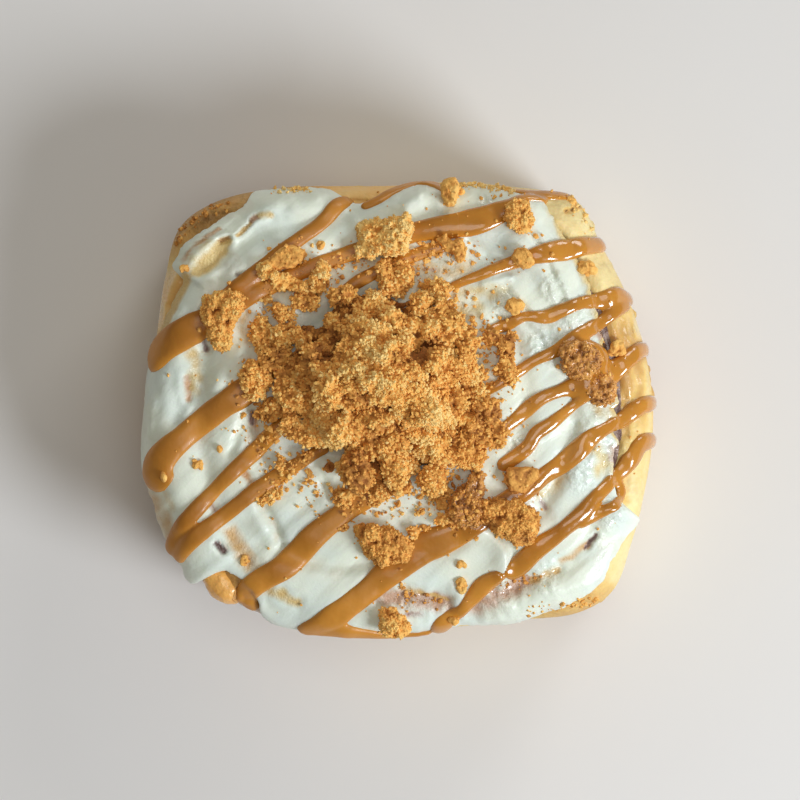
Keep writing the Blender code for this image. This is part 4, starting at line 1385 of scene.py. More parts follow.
    def place(self, columns: Array, rows: Array) -> Placed:
        """The points of the icing's skin, its cover and what shows through.

        Args:
            columns: Steps round the roll.
            rows: Steps from the middle out over the top, round the edge and back in below.

        Returns:
            The points, and the values of the finish.
        """
        form = self.form
        bearings = 360.0 * columns / self.sectors
        rims = form.rim(bearings)
        edge = self.edge(bearings)
        on_shoulder = np.clip(1.0 - edge / form.shoulder, 0.0, 1.0)
        edge += 0.75 * around(self.edge_thick_table, bearings) * on_shoulder
        out = passed(rows, 0, self.top_rows)
        calm = np.mean([around(self.edge_table, bearings + turn) for turn in self.calm_turns], axis=0)
        start = mix(calm, edge, smooth((out - self.calm_share) / (1.0 - self.calm_share)))
        turn = passed(rows, self.top_rows, self.edge_rows) * math.pi
        back = passed(rows, self.top_rows + self.edge_rows, self.under_rows)
        insets = start + (rims - start) * (1.0 - out ** 0.92)
        from_edge = np.maximum(insets - edge, 0.0)
        fringe = form.plan(bearings, rims - np.clip(insets, 0.0, rims - 0.01))
        swollen = 1.0 + 0.35 * uneven(form.plan(bearings, rims), 9.0, 3.0)
        thick_edge = around(self.edge_thick_table, bearings) * swollen
        thick = mix(thick_edge, self.thick, np.sqrt(smooth(from_edge / self.edge_run)))
        added, cover, tone = self.relief(fringe)
        added = added * smooth(from_edge / 2.2)
        top = rows <= self.top_rows
        added = np.where(top, np.maximum(added, self.least - thick), 0.0)
        bead = thick_edge / 2
        lifts = np.where(top, thick + added, bead + bead * np.cos(turn))
        insets = np.where(top, insets, edge - bead * 0.8 * np.sin(turn))
        under = edge + self.under_reach * np.minimum(back * 2.0, 1.0)
        under = np.where(back > 0.5, mix(under, rims, (back - 0.5) * 2.0), under)
        insets = np.where(back > 0.0, under, insets)
        lifts = np.where(back > 0.0, self.under_lift * np.minimum(back * 2.0, 1.0), lifts)
        points, _ = form.surface(bearings, insets, lifts)
        thin_edge = smooth((thick + added) / 0.9)
        fade = around(self.fade_table, bearings) * (1.0 + 0.8 * uneven(fringe, 2.2, 9.0))
        faded = np.clip(fade, 0.0, 1.0) * (1.0 - smooth(from_edge / self.fade_run))
        cover = cover * thin_edge * (1.0 - faded)
        return points, {"cover": cover, "tone": tone, "glaze": patches(points[:, :2], self.glaze_spots)}

    def build(self, material: Material, ground: Ground) -> None:
        """Make the sheet of icing, and count it as something that toppings lie on."""
        rows = self.top_rows + self.edge_rows + self.under_rows
        shape = mapped_grid(self.sectors, rows, self.place)
        ground.add(shape)
        finish_piece(self.form, "icing_sheet", shape, material, ["icing_layer"])


# ---- the caramel ----


@dataclass
class CaramelDrizzle:
    """Strands of thick caramel that drape over the icing and run into one another.

    Each strand is a row of plan points with the strand's width there.
    """

    form: RollForm
    least: float = 0.45
    rise: float = 0.15
    widest: float = 7.0
    spread: float = 0.35
    sunk: float = 1.1
    step: float = 0.8
    side_points: int = 14
    voxel: float = 0.345
    melt: int = 5
    samples: int = 300
    least_tip: float = 0.03
    draped: Spot = (-1.0, 4.5)
    evening: tuple[float, ...] = (0.1, 0.2, 0.4, 0.2, 0.1)
    roundness: float = 2.6
    edge_sunk: float = 0.35
    strands: tuple[tuple[Triple, ...], ...] = (
        ((-52.4, 8.4, 6.2), (-49.2, 12.2, 7.2), (-44.4, 16, 6.2), (-39, 19, 4.8), (-33, 22.6, 3.6),
         (-27, 25.8, 3.2), (-20, 28.8, 3.2), (-12, 31.9, 3.4), (-3, 35, 3.8), (5, 37.2, 4.4), (10, 38, 5),
         (15, 38.9, 5.6), (19.5, 40.3, 5), (23, 41.8, 3.6), (26, 43.6, 2.2), (31.5, 43.6, 1.6)),
        ((36.4, 44.8, 2.6), (31, 44.9, 3), (26, 45.2, 2.2), (20, 46.2, 1.4)),
        ((-38.5, 22, 3), (-33.5, 26, 3.2), (-24.5, 33, 3.2), (-18.5, 37.6, 2.8), (-13.5, 41.8, 3.2),
         (-10, 44, 2.2)),
        ((-8.5, 41.8, 1.3), (-5.5, 43, 2), (-1.5, 45.2, 2.6), (3, 47, 2.6), (7.5, 46.6, 2.8),
         (10, 44.3, 2.2), (10.8, 42.2, 1.6)),
        ((-13, 23.5, 2.4), (-8, 26.8, 2.8), (-2, 30, 2.4), (4, 32.3, 2.6), (10, 34.2, 2.4)),
        ((10, 24.9, 1.6), (16, 27.4, 2), (21, 29.5, 2.4), (26, 31, 3), (31, 32.3, 4), (36, 33.3, 4.4),
         (40, 34.3, 3.8), (43.2, 34.4, 3)),
        ((17.5, 15.7, 1.2), (22, 17, 2.4), (26.5, 19, 1.8), (31, 18.9, 2.9), (34.5, 20.3, 2.8),
         (38, 21.7, 2.8), (42, 22.3, 3.4), (46, 23.5, 3.6), (49.2, 22.9, 2.8)),
        ((48.6, 22, 2.6), (44.5, 19.2, 2.8), (40, 16.2, 3), (36, 13.8, 3), (32, 11.2, 2.6), (28, 9.3, 2.2),
         (24.5, 7, 2.4), (20.5, 4.2, 2), (16.5, 2, 1.4)),
        ((52.6, 12.3, 3), (50.2, 11.4, 3.4), (48, 9.4, 3.6), (45, 7.2, 4.8), (41.5, 5.2, 5.6),
         (37.5, 4.2, 5), (34, 3.2, 3), (30, 1.7, 2.8), (26.5, -1, 3), (23, -3.8, 2.6), (19.5, -6.3, 1.4)),
        ((43, 4, 2), (38.5, 1.6, 2), (35.5, -0.8, 2), (32, -3.6, 2.4), (28.8, -5.8, 2.9), (27, -8.6, 3),
         (24, -11, 3), (20.5, -13.5, 2.4)),
        ((54.2, 0.8, 3), (51.3, -0.2, 3.6), (48, -2.4, 3.2), (44, -4.6, 2.6), (40.5, -6.6, 3.4),
         (37.5, -9.4, 4), (34.5, -12.1, 4), (31, -14.4, 3.6), (27.5, -17, 4), (20, -22, 5),
         (12, -26.8, 5.8), (5, -30, 6.6), (-1, -34, 6.4), (-6, -38.4, 5.4), (-10.5, -41.6, 5.4),
         (-15.5, -45, 5.4), (-20.6, -47, 4.2)),
        ((54.4, -7.6, 3.2), (51.5, -7.9, 4), (49.4, -10.8, 4.2), (47.4, -13.8, 3), (44.5, -16.2, 2.8),
         (41.5, -19.2, 3.2), (38.5, -22.8, 3.4), (34.5, -26, 3.2), (30.5, -29, 3.8), (27, -32.2, 4.4),
         (24, -35, 3.8), (22, -36.4, 2.2)),
        ((46, -15.6, 1.8), (47, -18.6, 2.2), (44.8, -21.2, 2.2), (41, -23.2, 2.2), (37, -25.3, 2)),
        ((21.8, -35.3, 2.2), (18.2, -37.8, 3.6), (15, -40.8, 3.2), (12, -43.4, 2.8), (9, -45.2, 4.6),
         (8, -47.4, 4)),
        ((-21.4, -46.4, 3.4), (-16.5, -46.6, 4.6), (-11.5, -46.6, 4.6), (-7, -47.2, 3.2), (-3, -47.8, 2.2),
         (2, -47.7, 1.6), (7, -47.2, 1.8)),
        ((-5, -18, 3.6), (-8.5, -20.4, 4.2), (-12.5, -23.1, 4.6), (-17.5, -27, 5), (-21.5, -31, 5.6),
         (-25, -34.2, 5.2), (-28.6, -36.2, 5), (-31.6, -38.4, 4.8), (-32.4, -41, 4.4), (-31.8, -43.4, 3.8)),
        ((-15, -8.4, 2), (-21.5, -11.9, 2.8), (-26, -15, 3.4), (-30, -17.6, 3.3), (-35, -21.2, 3.1),
         (-40, -25, 3.2), (-44.3, -28.7, 3.5), (-46.9, -32, 3.3)),
        ((-23, -2.4, 2.6), (-26, -4.8, 3), (-30, -8.5, 3.4), (-35, -13.3, 3.3), (-40, -18.3, 3.1),
         (-44, -22.7, 3), (-47, -26.8, 3.2), (-48.2, -30.8, 3.2)),
        ((37.4, 2.6, 3), (39.6, 5.4, 6.4), (40, 8.4, 8.4), (39.4, 11.4, 8.2), (38.8, 14.2, 4.4)),
        ((-27, 8, 5), (-32, 4, 5.6), (-37, 0.4, 5.4), (-41, -2.6, 5.2), (-45, -5.7, 5), (-48.4, -8.8, 5.8),
         (-50.4, -11.8, 7.8), (-50.8, -14.9, 8.8), (-50.8, -18.2, 8.4)),
    )

    def centre_line(self, number: int) -> tuple[Array, Array, Array, Array]:
        """The way of a strand over the roll, in even steps.

        Args:
            number: Which of the strands.

        Returns:
            The points on the roll's skin, its normals there, the lengths along the way, and the widths.
        """
        knots = np.array(self.strands[number], float)
        evenly = np.linspace(0.0, 1.0, self.samples)
        places, _ = self.form.surface(*self.form.locate(through(knots[:, :2], evenly)))
        lengths = np.concatenate([[0.0], np.cumsum(np.linalg.norm(np.diff(places, axis=0), axis=1))])
        even = np.linspace(0.0, lengths[-1], max(round(lengths[-1] / self.step), 6) + 1)
        shares = np.interp(even, lengths, evenly)
        places, normals = self.form.surface(*self.form.locate(through(knots[:, :2], shares)))
        widths = through(np.column_stack([knots[:, 2], knots[:, 2]]), shares)[:, 0]
        return places, normals, even, widths

    def strand(self, number: int, ground: Ground) -> Mesh:
        """One strand: a low round body along its way, draped on what lies below.

        Args:
            number: Which of the strands.
            ground: What it lies on.

        Returns:
            Its mesh.
        """
        places, normals, lengths, width = self.centre_line(number)
        count = len(lengths) - 1
        sides = unit(np.cross(np.gradient(places, axis=0), normals))
        width = width * (1.0 + 0.14 * uneven(places, 5.0, 2.0 + number)) + self.spread
        places = places + sides * (0.3 * uneven(places, 6.0, 5.0 + number))[:, None]
        from_end = np.minimum(lengths, lengths[-1] - lengths)
        tips = np.clip(from_end / (0.5 * width), 0.0, 1.0)
        tips = np.sqrt(np.maximum(1.0 - (1.0 - tips) ** 2, 0.0))
        half = width / 2 * np.maximum(tips, self.least_tip)
        high = (self.least + self.rise * np.minimum(width, self.widest)) * tips
        high = high * (1.0 + 0.18 * uneven(places, 4.0, 12.0 + number))
        offsets = -np.cos(math.pi * np.arange(self.side_points + 1) / self.side_points)
        bases = np.zeros((count + 1, self.side_points + 1))
        for index, (place, normal, side, reach) in enumerate(zip(places, normals, sides, half)):
            for step, offset in enumerate(offsets):
                start = Vector(place + side * reach * offset)
                hit = ground.below(start, Vector(normal))
                lift = (hit[0] - start).dot(Vector(normal)) if hit else 0.0
                bases[index, step] = np.clip(lift, *self.draped)
        level = np.convolve(np.pad(bases.mean(axis=1), 2, mode="edge"), self.evening, mode="valid")

        def place(columns: Array, rows: Array) -> Placed:
            """The points of the strand's skin: over the top and back below."""
            at = columns.astype(int)
            over = rows <= self.side_points
            step = np.where(over, rows, 2 * self.side_points - rows).astype(int)
            offset = offsets[step]
            base = bases[at, step]
            arch = np.sqrt(np.maximum(1.0 - np.abs(offset) ** self.roundness, 0.0))
            top = mix(base, level[at], 0.5) + high[at] * arch
            low = base - self.sunk * np.maximum(tips[at], 0.2) * (1.0 - 0.6 * offset ** 2)
            lift = np.where(over, np.maximum(top, base - 0.1), low)
            edge = (step == 0) | (step == self.side_points)
            lift = np.where(edge, base - self.edge_sunk, lift)
            skin = places[at] + sides[at] * (half[at] * offset)[:, None] + normals[at] * lift[:, None]
            return skin, {}

        return mapped_grid(count, 2 * self.side_points, place)

    def build(self, material: Material, ground: Ground) -> None:
        """Make all the strands as one body of caramel, and count it as something that toppings lie on."""
        joined = bmesh.new()
        for number in range(len(self.strands)):
            join(joined, self.strand(number, ground))
        shape = remeshed(joined, self.voxel, self.melt)
        points, _ = places_of(shape)
        skin, normals = self.form.surface(*self.form.locate(points))
        depth = np.einsum("ij,ij->i", points - skin, normals)
        depth = 0.45 + 0.4 * smooth((depth - 2.6) / 1.6)
        set_values(shape, depth=depth, glaze=smooth((points[:, 0] + 6.0) / 30.0))
        ground.add(shape)
        finish_piece(self.form, "caramel_drizzle", shape, material, ["icing_layer"])


# ---- crumbs and biscuit ----


@dataclass
class Grains:
    """Many small crumbs of one kind, gathered as arrays and made one mesh."""

    seed: int
    kinds: int = 9
    rough: float = 0.4
    fineness: float = 1.6
    spray: float = 0.75
    tint_spread: float = 0.075
    points: list[Array] = field(default_factory=list)
    shades: list[Array] = field(default_factory=list)

    def __post_init__(self) -> None:
        """Break a few kinds of grain, which are then turned and sized differently."""
        self.draw = np.random.default_rng(self.seed)
        ball = bmesh.new()
        bmesh.ops.create_icosphere(ball, subdivisions=1, radius=0.5)
        round_points, _ = places_of(ball)
        self.faces = np.array([[vert.index for vert in face.verts] for face in ball.faces])
        ball.free()
        shape = (self.kinds, len(round_points), 1)
        self.shapes = round_points * (1.0 + self.rough * self.draw.uniform(-1.0, 1.0, shape))

    def add(self, places: Array, sizes: Array, shades: Array) -> None:
        """Add grains at places.

        Args:
            places: The middle of each.
            sizes: Its width.
            shades: Its shade value, 0 for dark and 1 for pale: its toast, with painted shade where it was
                grown.
        """
        count = len(places)
        w, x, y, z = unit(self.draw.normal(size=(count, 4))).T
        turned = np.array([
            [1 - 2 * (y * y + z * z), 2 * (x * y - z * w), 2 * (x * z + y * w)],
            [2 * (x * y + z * w), 1 - 2 * (x * x + z * z), 2 * (y * z - x * w)],
            [2 * (x * z - y * w), 2 * (y * z + x * w), 1 - 2 * (x * x + y * y)],
        ]).transpose(2, 0, 1)
        stretch = self.draw.uniform(0.7, 1.25, (count, 1, 3))
        shapes = self.shapes[self.draw.integers(0, self.kinds, count)] * stretch * sizes[:, None, None]
        self.points.append(np.einsum("nij,nkj->nki", turned, shapes) + places[:, None, :])
        self.shades.append(np.repeat(shades, shapes.shape[1]))

    def grow(self, shape: Mesh, count: int, sizes: Spot, links: int, floor: float = -0.2) -> None:
        """Stack short chains of grains on a mesh.

        Args:
            shape: The mesh, which keeps its toast and its painted shade as its shade value.
            count: How many chains.
            sizes: The least and the largest width of a grain.
            links: How many grains a chain has.
            floor: The least upward slant of the faces that they grow on.
        """
        places, normals, shades = scattered(shape, count, self.draw, floor)
        for link in range(links):
            widths = mix(*sizes, self.draw.random(count) ** self.fineness)
            ways = unit(normals + self.draw.normal(0.0, self.spray, (count, 3)))
            places = places + ways * (mix(0.15, 0.5, link > 0) * widths)[:, None]
            # Painted shade: grains deeper in a chain are painted darker, those further out paler.
            toast_with_depth_shade = shades + 0.06 * link + self.draw.normal(-0.04, self.tint_spread, count)
            self.add(places, widths, np.clip(toast_with_depth_shade, 0.0, 1.0))

    def mesh(self) -> Mesh:
        """All the grains as one mesh."""
        stacked = np.concatenate(self.points)
        per = stacked.shape[1]
        faces = (self.faces[None] + per * np.arange(len(stacked))[:, None, None]).reshape(-1, 3)
        data = bpy.data.meshes.new("grains")
        data.from_pydata(stacked.reshape(-1, 3).tolist(), [], faces.tolist())
        values = data.attributes.new("shade", "FLOAT", "POINT")
        values.data.foreach_set("value", np.concatenate(self.shades))
        result = bmesh.new()
        result.from_mesh(data)
        bpy.data.meshes.remove(data)
        return result


def scattered(shape: Mesh, count: int, draw: np.random.Generator,
              floor: float = -1.0) -> tuple[Array, Array, Array]:
    """Places spread over a mesh by area, more of them where its shade value, its toast with painted shade,
    is pale.

    Args:
        shape: The mesh.
        count: How many places.
        draw: Where the chances come from.
        floor: The least upward slant of the faces that are used.

    Returns:
        The places, the normals there, and the mesh's shade value there.
    """
    triangles = shape.calc_loop_triangles()
    corners = np.array([[loop.vert.co[:] for loop in loops] for loops in triangles])
    edges = np.cross(corners[:, 1] - corners[:, 0], corners[:, 2] - corners[:, 0])
    areas = np.linalg.norm(edges, axis=1)
    normals = edges / np.maximum(areas, 1e-12)[:, None]
    toast = shape.verts.layers.float["shade"]
    toasts_and_shades = np.array([loops[0].vert[toast] for loops in triangles])
    weights = areas * (normals[:, 2] > floor) * (0.14 + toasts_and_shades ** 2)
    chosen = draw.choice(len(areas), count, p=weights / weights.sum())
    first, second = draw.random((2, count, 1))
    flipped = first + second > 1.0
    first, second = np.where(flipped, 1.0 - first, first), np.where(flipped, 1.0 - second, second)
    corner = corners[chosen]
    places = corner[:, 0] + first * (corner[:, 1] - corner[:, 0]) + second * (corner[:, 2] - corner[:, 0])
    return places, normals[chosen], toasts_and_shades[chosen]


def crumble(shape: Mesh, seed: float, strength: float, shade: float) -> None:
    """Break a mesh's skin up into biscuit crumb, and keep its toast, painted darker in its pores and creases
    and paler on its knots.

    Args:
        shape: The mesh, whose points move.
        seed: An offset, so that two pieces differ.
        strength: How open the crumb is, from 0 to about 1.
        shade: The toast of the piece, 0 for dark and 1 for pale.
    """
    points, normals = places_of(shape)
    knots = granules(points, 2.5, seed + 7.0)
    coarse = granules(points, 1.3, seed)
    fine = granules(points, 0.7, seed + 2.0)
    pores = np.maximum(uneven(points, 1.3, seed + 9.0) - 0.1, 0.0)
    lumps = uneven(points, 3.6, seed + 4.0)
    depth = 0.9 * lumps + 1.3 * knots + 0.9 * coarse + 0.6 * fine - 2.2 * pores
    moved = np.clip(strength * depth, -1.6, 0.9)
    move_to(shape, points + normals * moved[:, None])
    # Painted shade: the tint follows the relief, darker in pores and creases and paler on knots and grains,
    # on top of the piece's own toast.
    toast_and_crevice_shade = shade + 0.16 * lumps + 0.4 * knots + 0.25 * coarse + 0.25 * fine - 0.8 * pores
    set_values(shape, shade=np.clip(toast_and_crevice_shade, 0.0, 1.0))


@dataclass(frozen=True)
class Clump:
    """A clump of crumb: where it lies, how long, wide and high it is, how it is turned, and its toast."""

    spot: Spot
    size: Triple
    turn: float
    shade: float
    large: float = 30.0

    def build(self, number: int, ground: Ground) -> Mesh:
        """Make the clump where it lies.

        Args:
            number: Which clump it is, which sets its grain.
            ground: What it lies on.

        Returns:
            Its mesh.
        """
        hit = ground.top(self.spot)
        shape = bmesh.new()
        detail = 5 if self.size[0] * self.size[1] > self.large else 4
        bmesh.ops.create_icosphere(shape, subdivisions=detail, radius=0.5)
        points, normals = places_of(shape)
        points = points * (1.0 + 0.7 * uneven(points, 0.75, 3.1 * number)[:, None])
        move_to(shape, points)
        lying = Matrix.Translation(hit[0] + Vector((0.0, 0.0, 0.22 * self.size[2])))
        turned = Matrix.Rotation(math.radians(self.turn), 4, "Z")
        sized = Matrix.Diagonal((*self.size, 1.0))
        bmesh.ops.transform(shape, matrix=lying @ turned @ sized, verts=shape.verts)
        crumble(shape, 3.7 * number, min(0.85, 0.28 * min(self.size)), self.shade)
        return shape


@dataclass
class CrumbHeap:
    """The heap of biscuit crumbs: a lumpy core, clumps that stick together, and loose grains over it all."""

    form: RollForm
    voxel: float = 0.34
    chunk_span: float = 4.8
    knee: float = 48.0
    yielding: float = 0.84
    shadow: float = 0.22
    toast: float = 0.34
    depths: Spot = (-4.8, 2.1)
    floor_run: float = 3.0
    core_share: float = 0.6
    first_seed: int = 20
    # Each mound: its middle, its reach, its rise, and how much paler it is painted. Rises are painted paler
    # as painted light, hollows darker as painted shade.
    mounds: tuple[tuple[Spot, float, float, float], ...] = (
        ((-8, 10.5), 6.5, 0.6, 0.16), ((-5.5, 18), 4, 1.6, 0.08), ((9.5, 18), 5.5, 1.8, 0.10),
        ((-13, -4), 3.6, 2.4, 0.2), ((-21, -2), 4.6, 1.2, 0.05), ((9, -3), 6.5, 0.8, 0.12),
        ((-1.5, 2.8), 3.6, 1.6, 0.12), ((9.5, 7), 4, 1.2, 0.12), ((3, 16), 2.4, 1.2, 0.1),
        ((5, 11.5), 2.6, -3, -0.35), ((-17.5, 10), 4, -2, -0.22), ((-14, 18.5), 3.6, -1.6, -0.2),
        ((-9, 0.5), 2.8, -1.8, -0.25), ((1.5, 21), 2.6, -1.8, -0.2), ((16, -4), 4, -0.8, -0.25),
        ((-9.5, 23), 3, -1.2, -0.16), ((-4, -6), 2.6, -1.2, -0.15), ((-22, 6.5), 3, -2.4, -0.1),
    )
    clumps: tuple[Clump, ...] = tuple(Clump(*row) for row in (
        ((-31.6, 5.6), (4.6, 7.6, 4.4), 8, 0.62), ((-28.9, 7), (3.4, 4.8, 3), 0, 0.46),
        ((-29.5, 15.2), (4.2, 5.4, 3.6), 10, 0.55), ((-24.3, 13.8), (4.6, 7.4, 4.4), -25, 0.58),
        ((-26.6, 10.4), (5, 3.6, 3.2), 30, 0.4), ((-16.9, 27), (3.2, 6.2, 4.2), -12, 0.7),
        ((-2.4, 27.6), (3.8, 5.2, 4.4), 20, 0.58), ((0.8, 27.2), (3.4, 5.8, 4.4), -10, 0.62),
        ((7.6, 23.6), (6.4, 4.8, 4.4), 0, 0.64), ((-12.6, 23.2), (4.6, 3.4, 3.4), 10, 0.5),
        ((-19.4, 22.4), (5.4, 4.2, 4), 20, 0.5), ((-25, 19.2), (3.2, 3.6, 2.8), 0, 0.6),
        ((22.2, 12.6), (3.4, 5, 3.6), -20, 0.36), ((22.6, 7.6), (3.2, 5.8, 3.6), 12, 0.44),
        ((19.2, 14.6), (3.6, 2.6, 3), 10, 0.42), ((17.4, -1.6), (6.2, 6, 4), 0, 0.26),
        ((19.8, -6.6), (5, 4.2, 3), 20, 0.46), ((14, -10.4), (6.4, 5, 3.6), 0, 0.52),
        ((7.2, -15.6), (5.4, 5, 3.4), 30, 0.56), ((8.6, -18.4), (3.6, 3, 2.4), 0, 0.6),
        ((-9, -13.8), (5.8, 8.4, 4.6), 6, 0.3), ((-12.4, -19.4), (4.6, 4, 3), 0, 0.56),
        ((-4.6, -18.4), (4, 4.4, 3.2), 0, 0.6), ((-2, -12.6), (3.6, 8.4, 4.4), 22, 0.62),
        ((-27.4, -0.8), (5.8, 5.4, 3), 20, 0.44), ((-20, -5.8), (8, 3.6, 3.6), -12, 0.62),
        ((-12.6, -4.6), (6.4, 6, 4.6), 0, 0.66), ((-25.6, -12.2), (1.9, 3.8, 1.6), 0, 0.62),
        ((-20.4, -10.9), (3.2, 2.2, 1.6), 0, 0.4), ((-27.4, -19.2), (5, 1.7, 1.4), 35, 0.72),
        ((-15.2, -13), (2, 2.2, 1.6), 0, 0.34), ((-26.2, 21.2), (2.4, 2, 1.6), 0, 0.6),
        ((-28.2, 22.8), (2.2, 1.5, 1.2), 0, 0.62), ((2.8, -26.6), (2.4, 1.8, 1.4), -40, 0.6),
        ((5, -25.7), (2.6, 1.2, 1), -10, 0.5), ((9, -24.2), (2.8, 2, 1.5), 30, 0.62),
        ((11, -24.6), (2.2, 1.6, 1.3), 0, 0.5), ((-12.2, -26), (2.2, 1.2, 0.9), 10, 0.42),
        ((4.4, -22.2), (2, 1.4, 0.8), 10, 0.72), ((-9.4, 11), (9, 7, 2.4), 30, 0.6),
        ((-6, 18.4), (6.6, 5, 3), 0, 0.56), ((9.6, 18.4), (7, 7.4, 4), 0, 0.58),
        ((9.6, 7.6), (6.4, 6, 3), 0, 0.58), ((-1, 3.2), (7, 3.8, 3.4), 10, 0.6),
        ((-21.6, 0.6), (6.4, 5, 3.4), -30, 0.54), ((-15.4, 2.6), (2.8, 6, 2.6), 30, 0.58),
        ((13.6, 12.6), (5, 4.6, 3.4), 0, 0.58), ((11.9, -8.3), (4.4, 3.8, 3), 20, 0.5),
    ))
    grains: tuple[tuple[str, int, Spot, int], ...] = (
        ("fine", 3270, (0.35, 0.7), 3), ("middling", 3270, (0.4, 0.8), 3), ("coarse", 3900, (0.5, 1.0), 2),
    )

    def settle(self, shape: Mesh) -> None:
        """Press a mesh's highest points down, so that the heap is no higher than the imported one."""
        points, _ = places_of(shape)
        over = np.maximum(points[:, 2] - self.knee, 0.0)
        points[:, 2] -= (1.0 - self.yielding) * over
        move_to(shape, points)

    def core(self) -> Mesh:
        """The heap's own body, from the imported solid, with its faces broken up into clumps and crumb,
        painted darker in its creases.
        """
        shape = remeshed(node_copy(self.form, "crumb_heap"), self.voxel, 4)
        points, normals = places_of(shape)
        rise = np.zeros(len(points))
        toast = np.full(len(points), self.toast)
        # The mounds lift or sink the core, and paint it paler on rises and darker in hollows: painted light
        # and painted shade.
        for spot, reach, height, painted_light_and_shade in self.mounds:
            near = np.exp(-((points[:, :2] - np.array(spot)) ** 2).sum(axis=1) / reach ** 2)
            rise += height * near
            toast += 1.1 * painted_light_and_shade * near
        chunks = granules(points, self.chunk_span, 3.0)
        lumps = granules(points, 2.1, 6.0)
        grains = granules(points, 1.05, 1.0)
        depth = 4.0 * chunks + 3.4 * lumps + 0.6 * grains + rise * normals[:, 2] - 0.5
        floor = smooth((points[:, 2] - points[:, 2].min()) / self.floor_run)
        move_to(shape, points + normals * (np.clip(depth, *self.depths) * floor)[:, None])
        # Painted shade: the toast follows the relief, darker in the creases between chunks, lumps and grains
        # and paler on their tops, with some uneven toast of its own.
        toast += 0.75 * chunks + 1.0 * lumps + 0.25 * grains + 0.2 * uneven(points, 8.0, 4.0)
        set_values(shape, shade=np.clip(toast, 0.0, 1.0))
        return shape

    def build(self, material: Material, ground: Ground) -> None:
        """Make the heap's core, its clumps and its grains."""
        core = self.core()
        self.settle(core)
        ground.add(core)
        gathered = bmesh.new()
        for number, clump in enumerate(self.clumps):
            join(gathered, clump.build(number, ground))
        self.settle(gathered)
        for seed, (name, chains, sizes, links) in enumerate(self.grains, self.first_seed):
            on_core = round(self.core_share * chains)
            grains = Grains(seed)
            grains.grow(core, on_core, sizes, links)
            grains.grow(gathered, chains - on_core, sizes, links)
            finish_piece(self.form, f"heap_grains_{name}", grains.mesh(), material, soft=False)
        # Painted shade: under their grains the core and the clumps are painted darker, for the shaded gaps
        # between the grains.
        for shape in (core, gathered):
            toast = shape.verts.layers.float["shade"]
            shades = [max(vert[toast] - self.shadow, 0.0) for vert in shape.verts]
            set_values(shape, shade=np.array(shades))
        ground.add(gathered)
        finish_piece(self.form, "heap_clumps", gathered, material)
        finish_piece(self.form, "heap_core", core, material, ["crumb_heap"])


class Bake(Enum):
    """How a piece of biscuit broke and what happened to it."""

    POROUS = "bright, open crumb"
    DENSE = "close crumb with a smooth baked side"
    GLAZED = "soaked in caramel"


POROUS, DENSE, GLAZED = Bake


@dataclass(frozen=True)
class Broken:
    """A broken piece of biscuit: its outline from above, how its top slopes, its bake and its toast."""

    outline: tuple[Spot, ...]
    slope: Spot
    bake: Bake
    shade: float


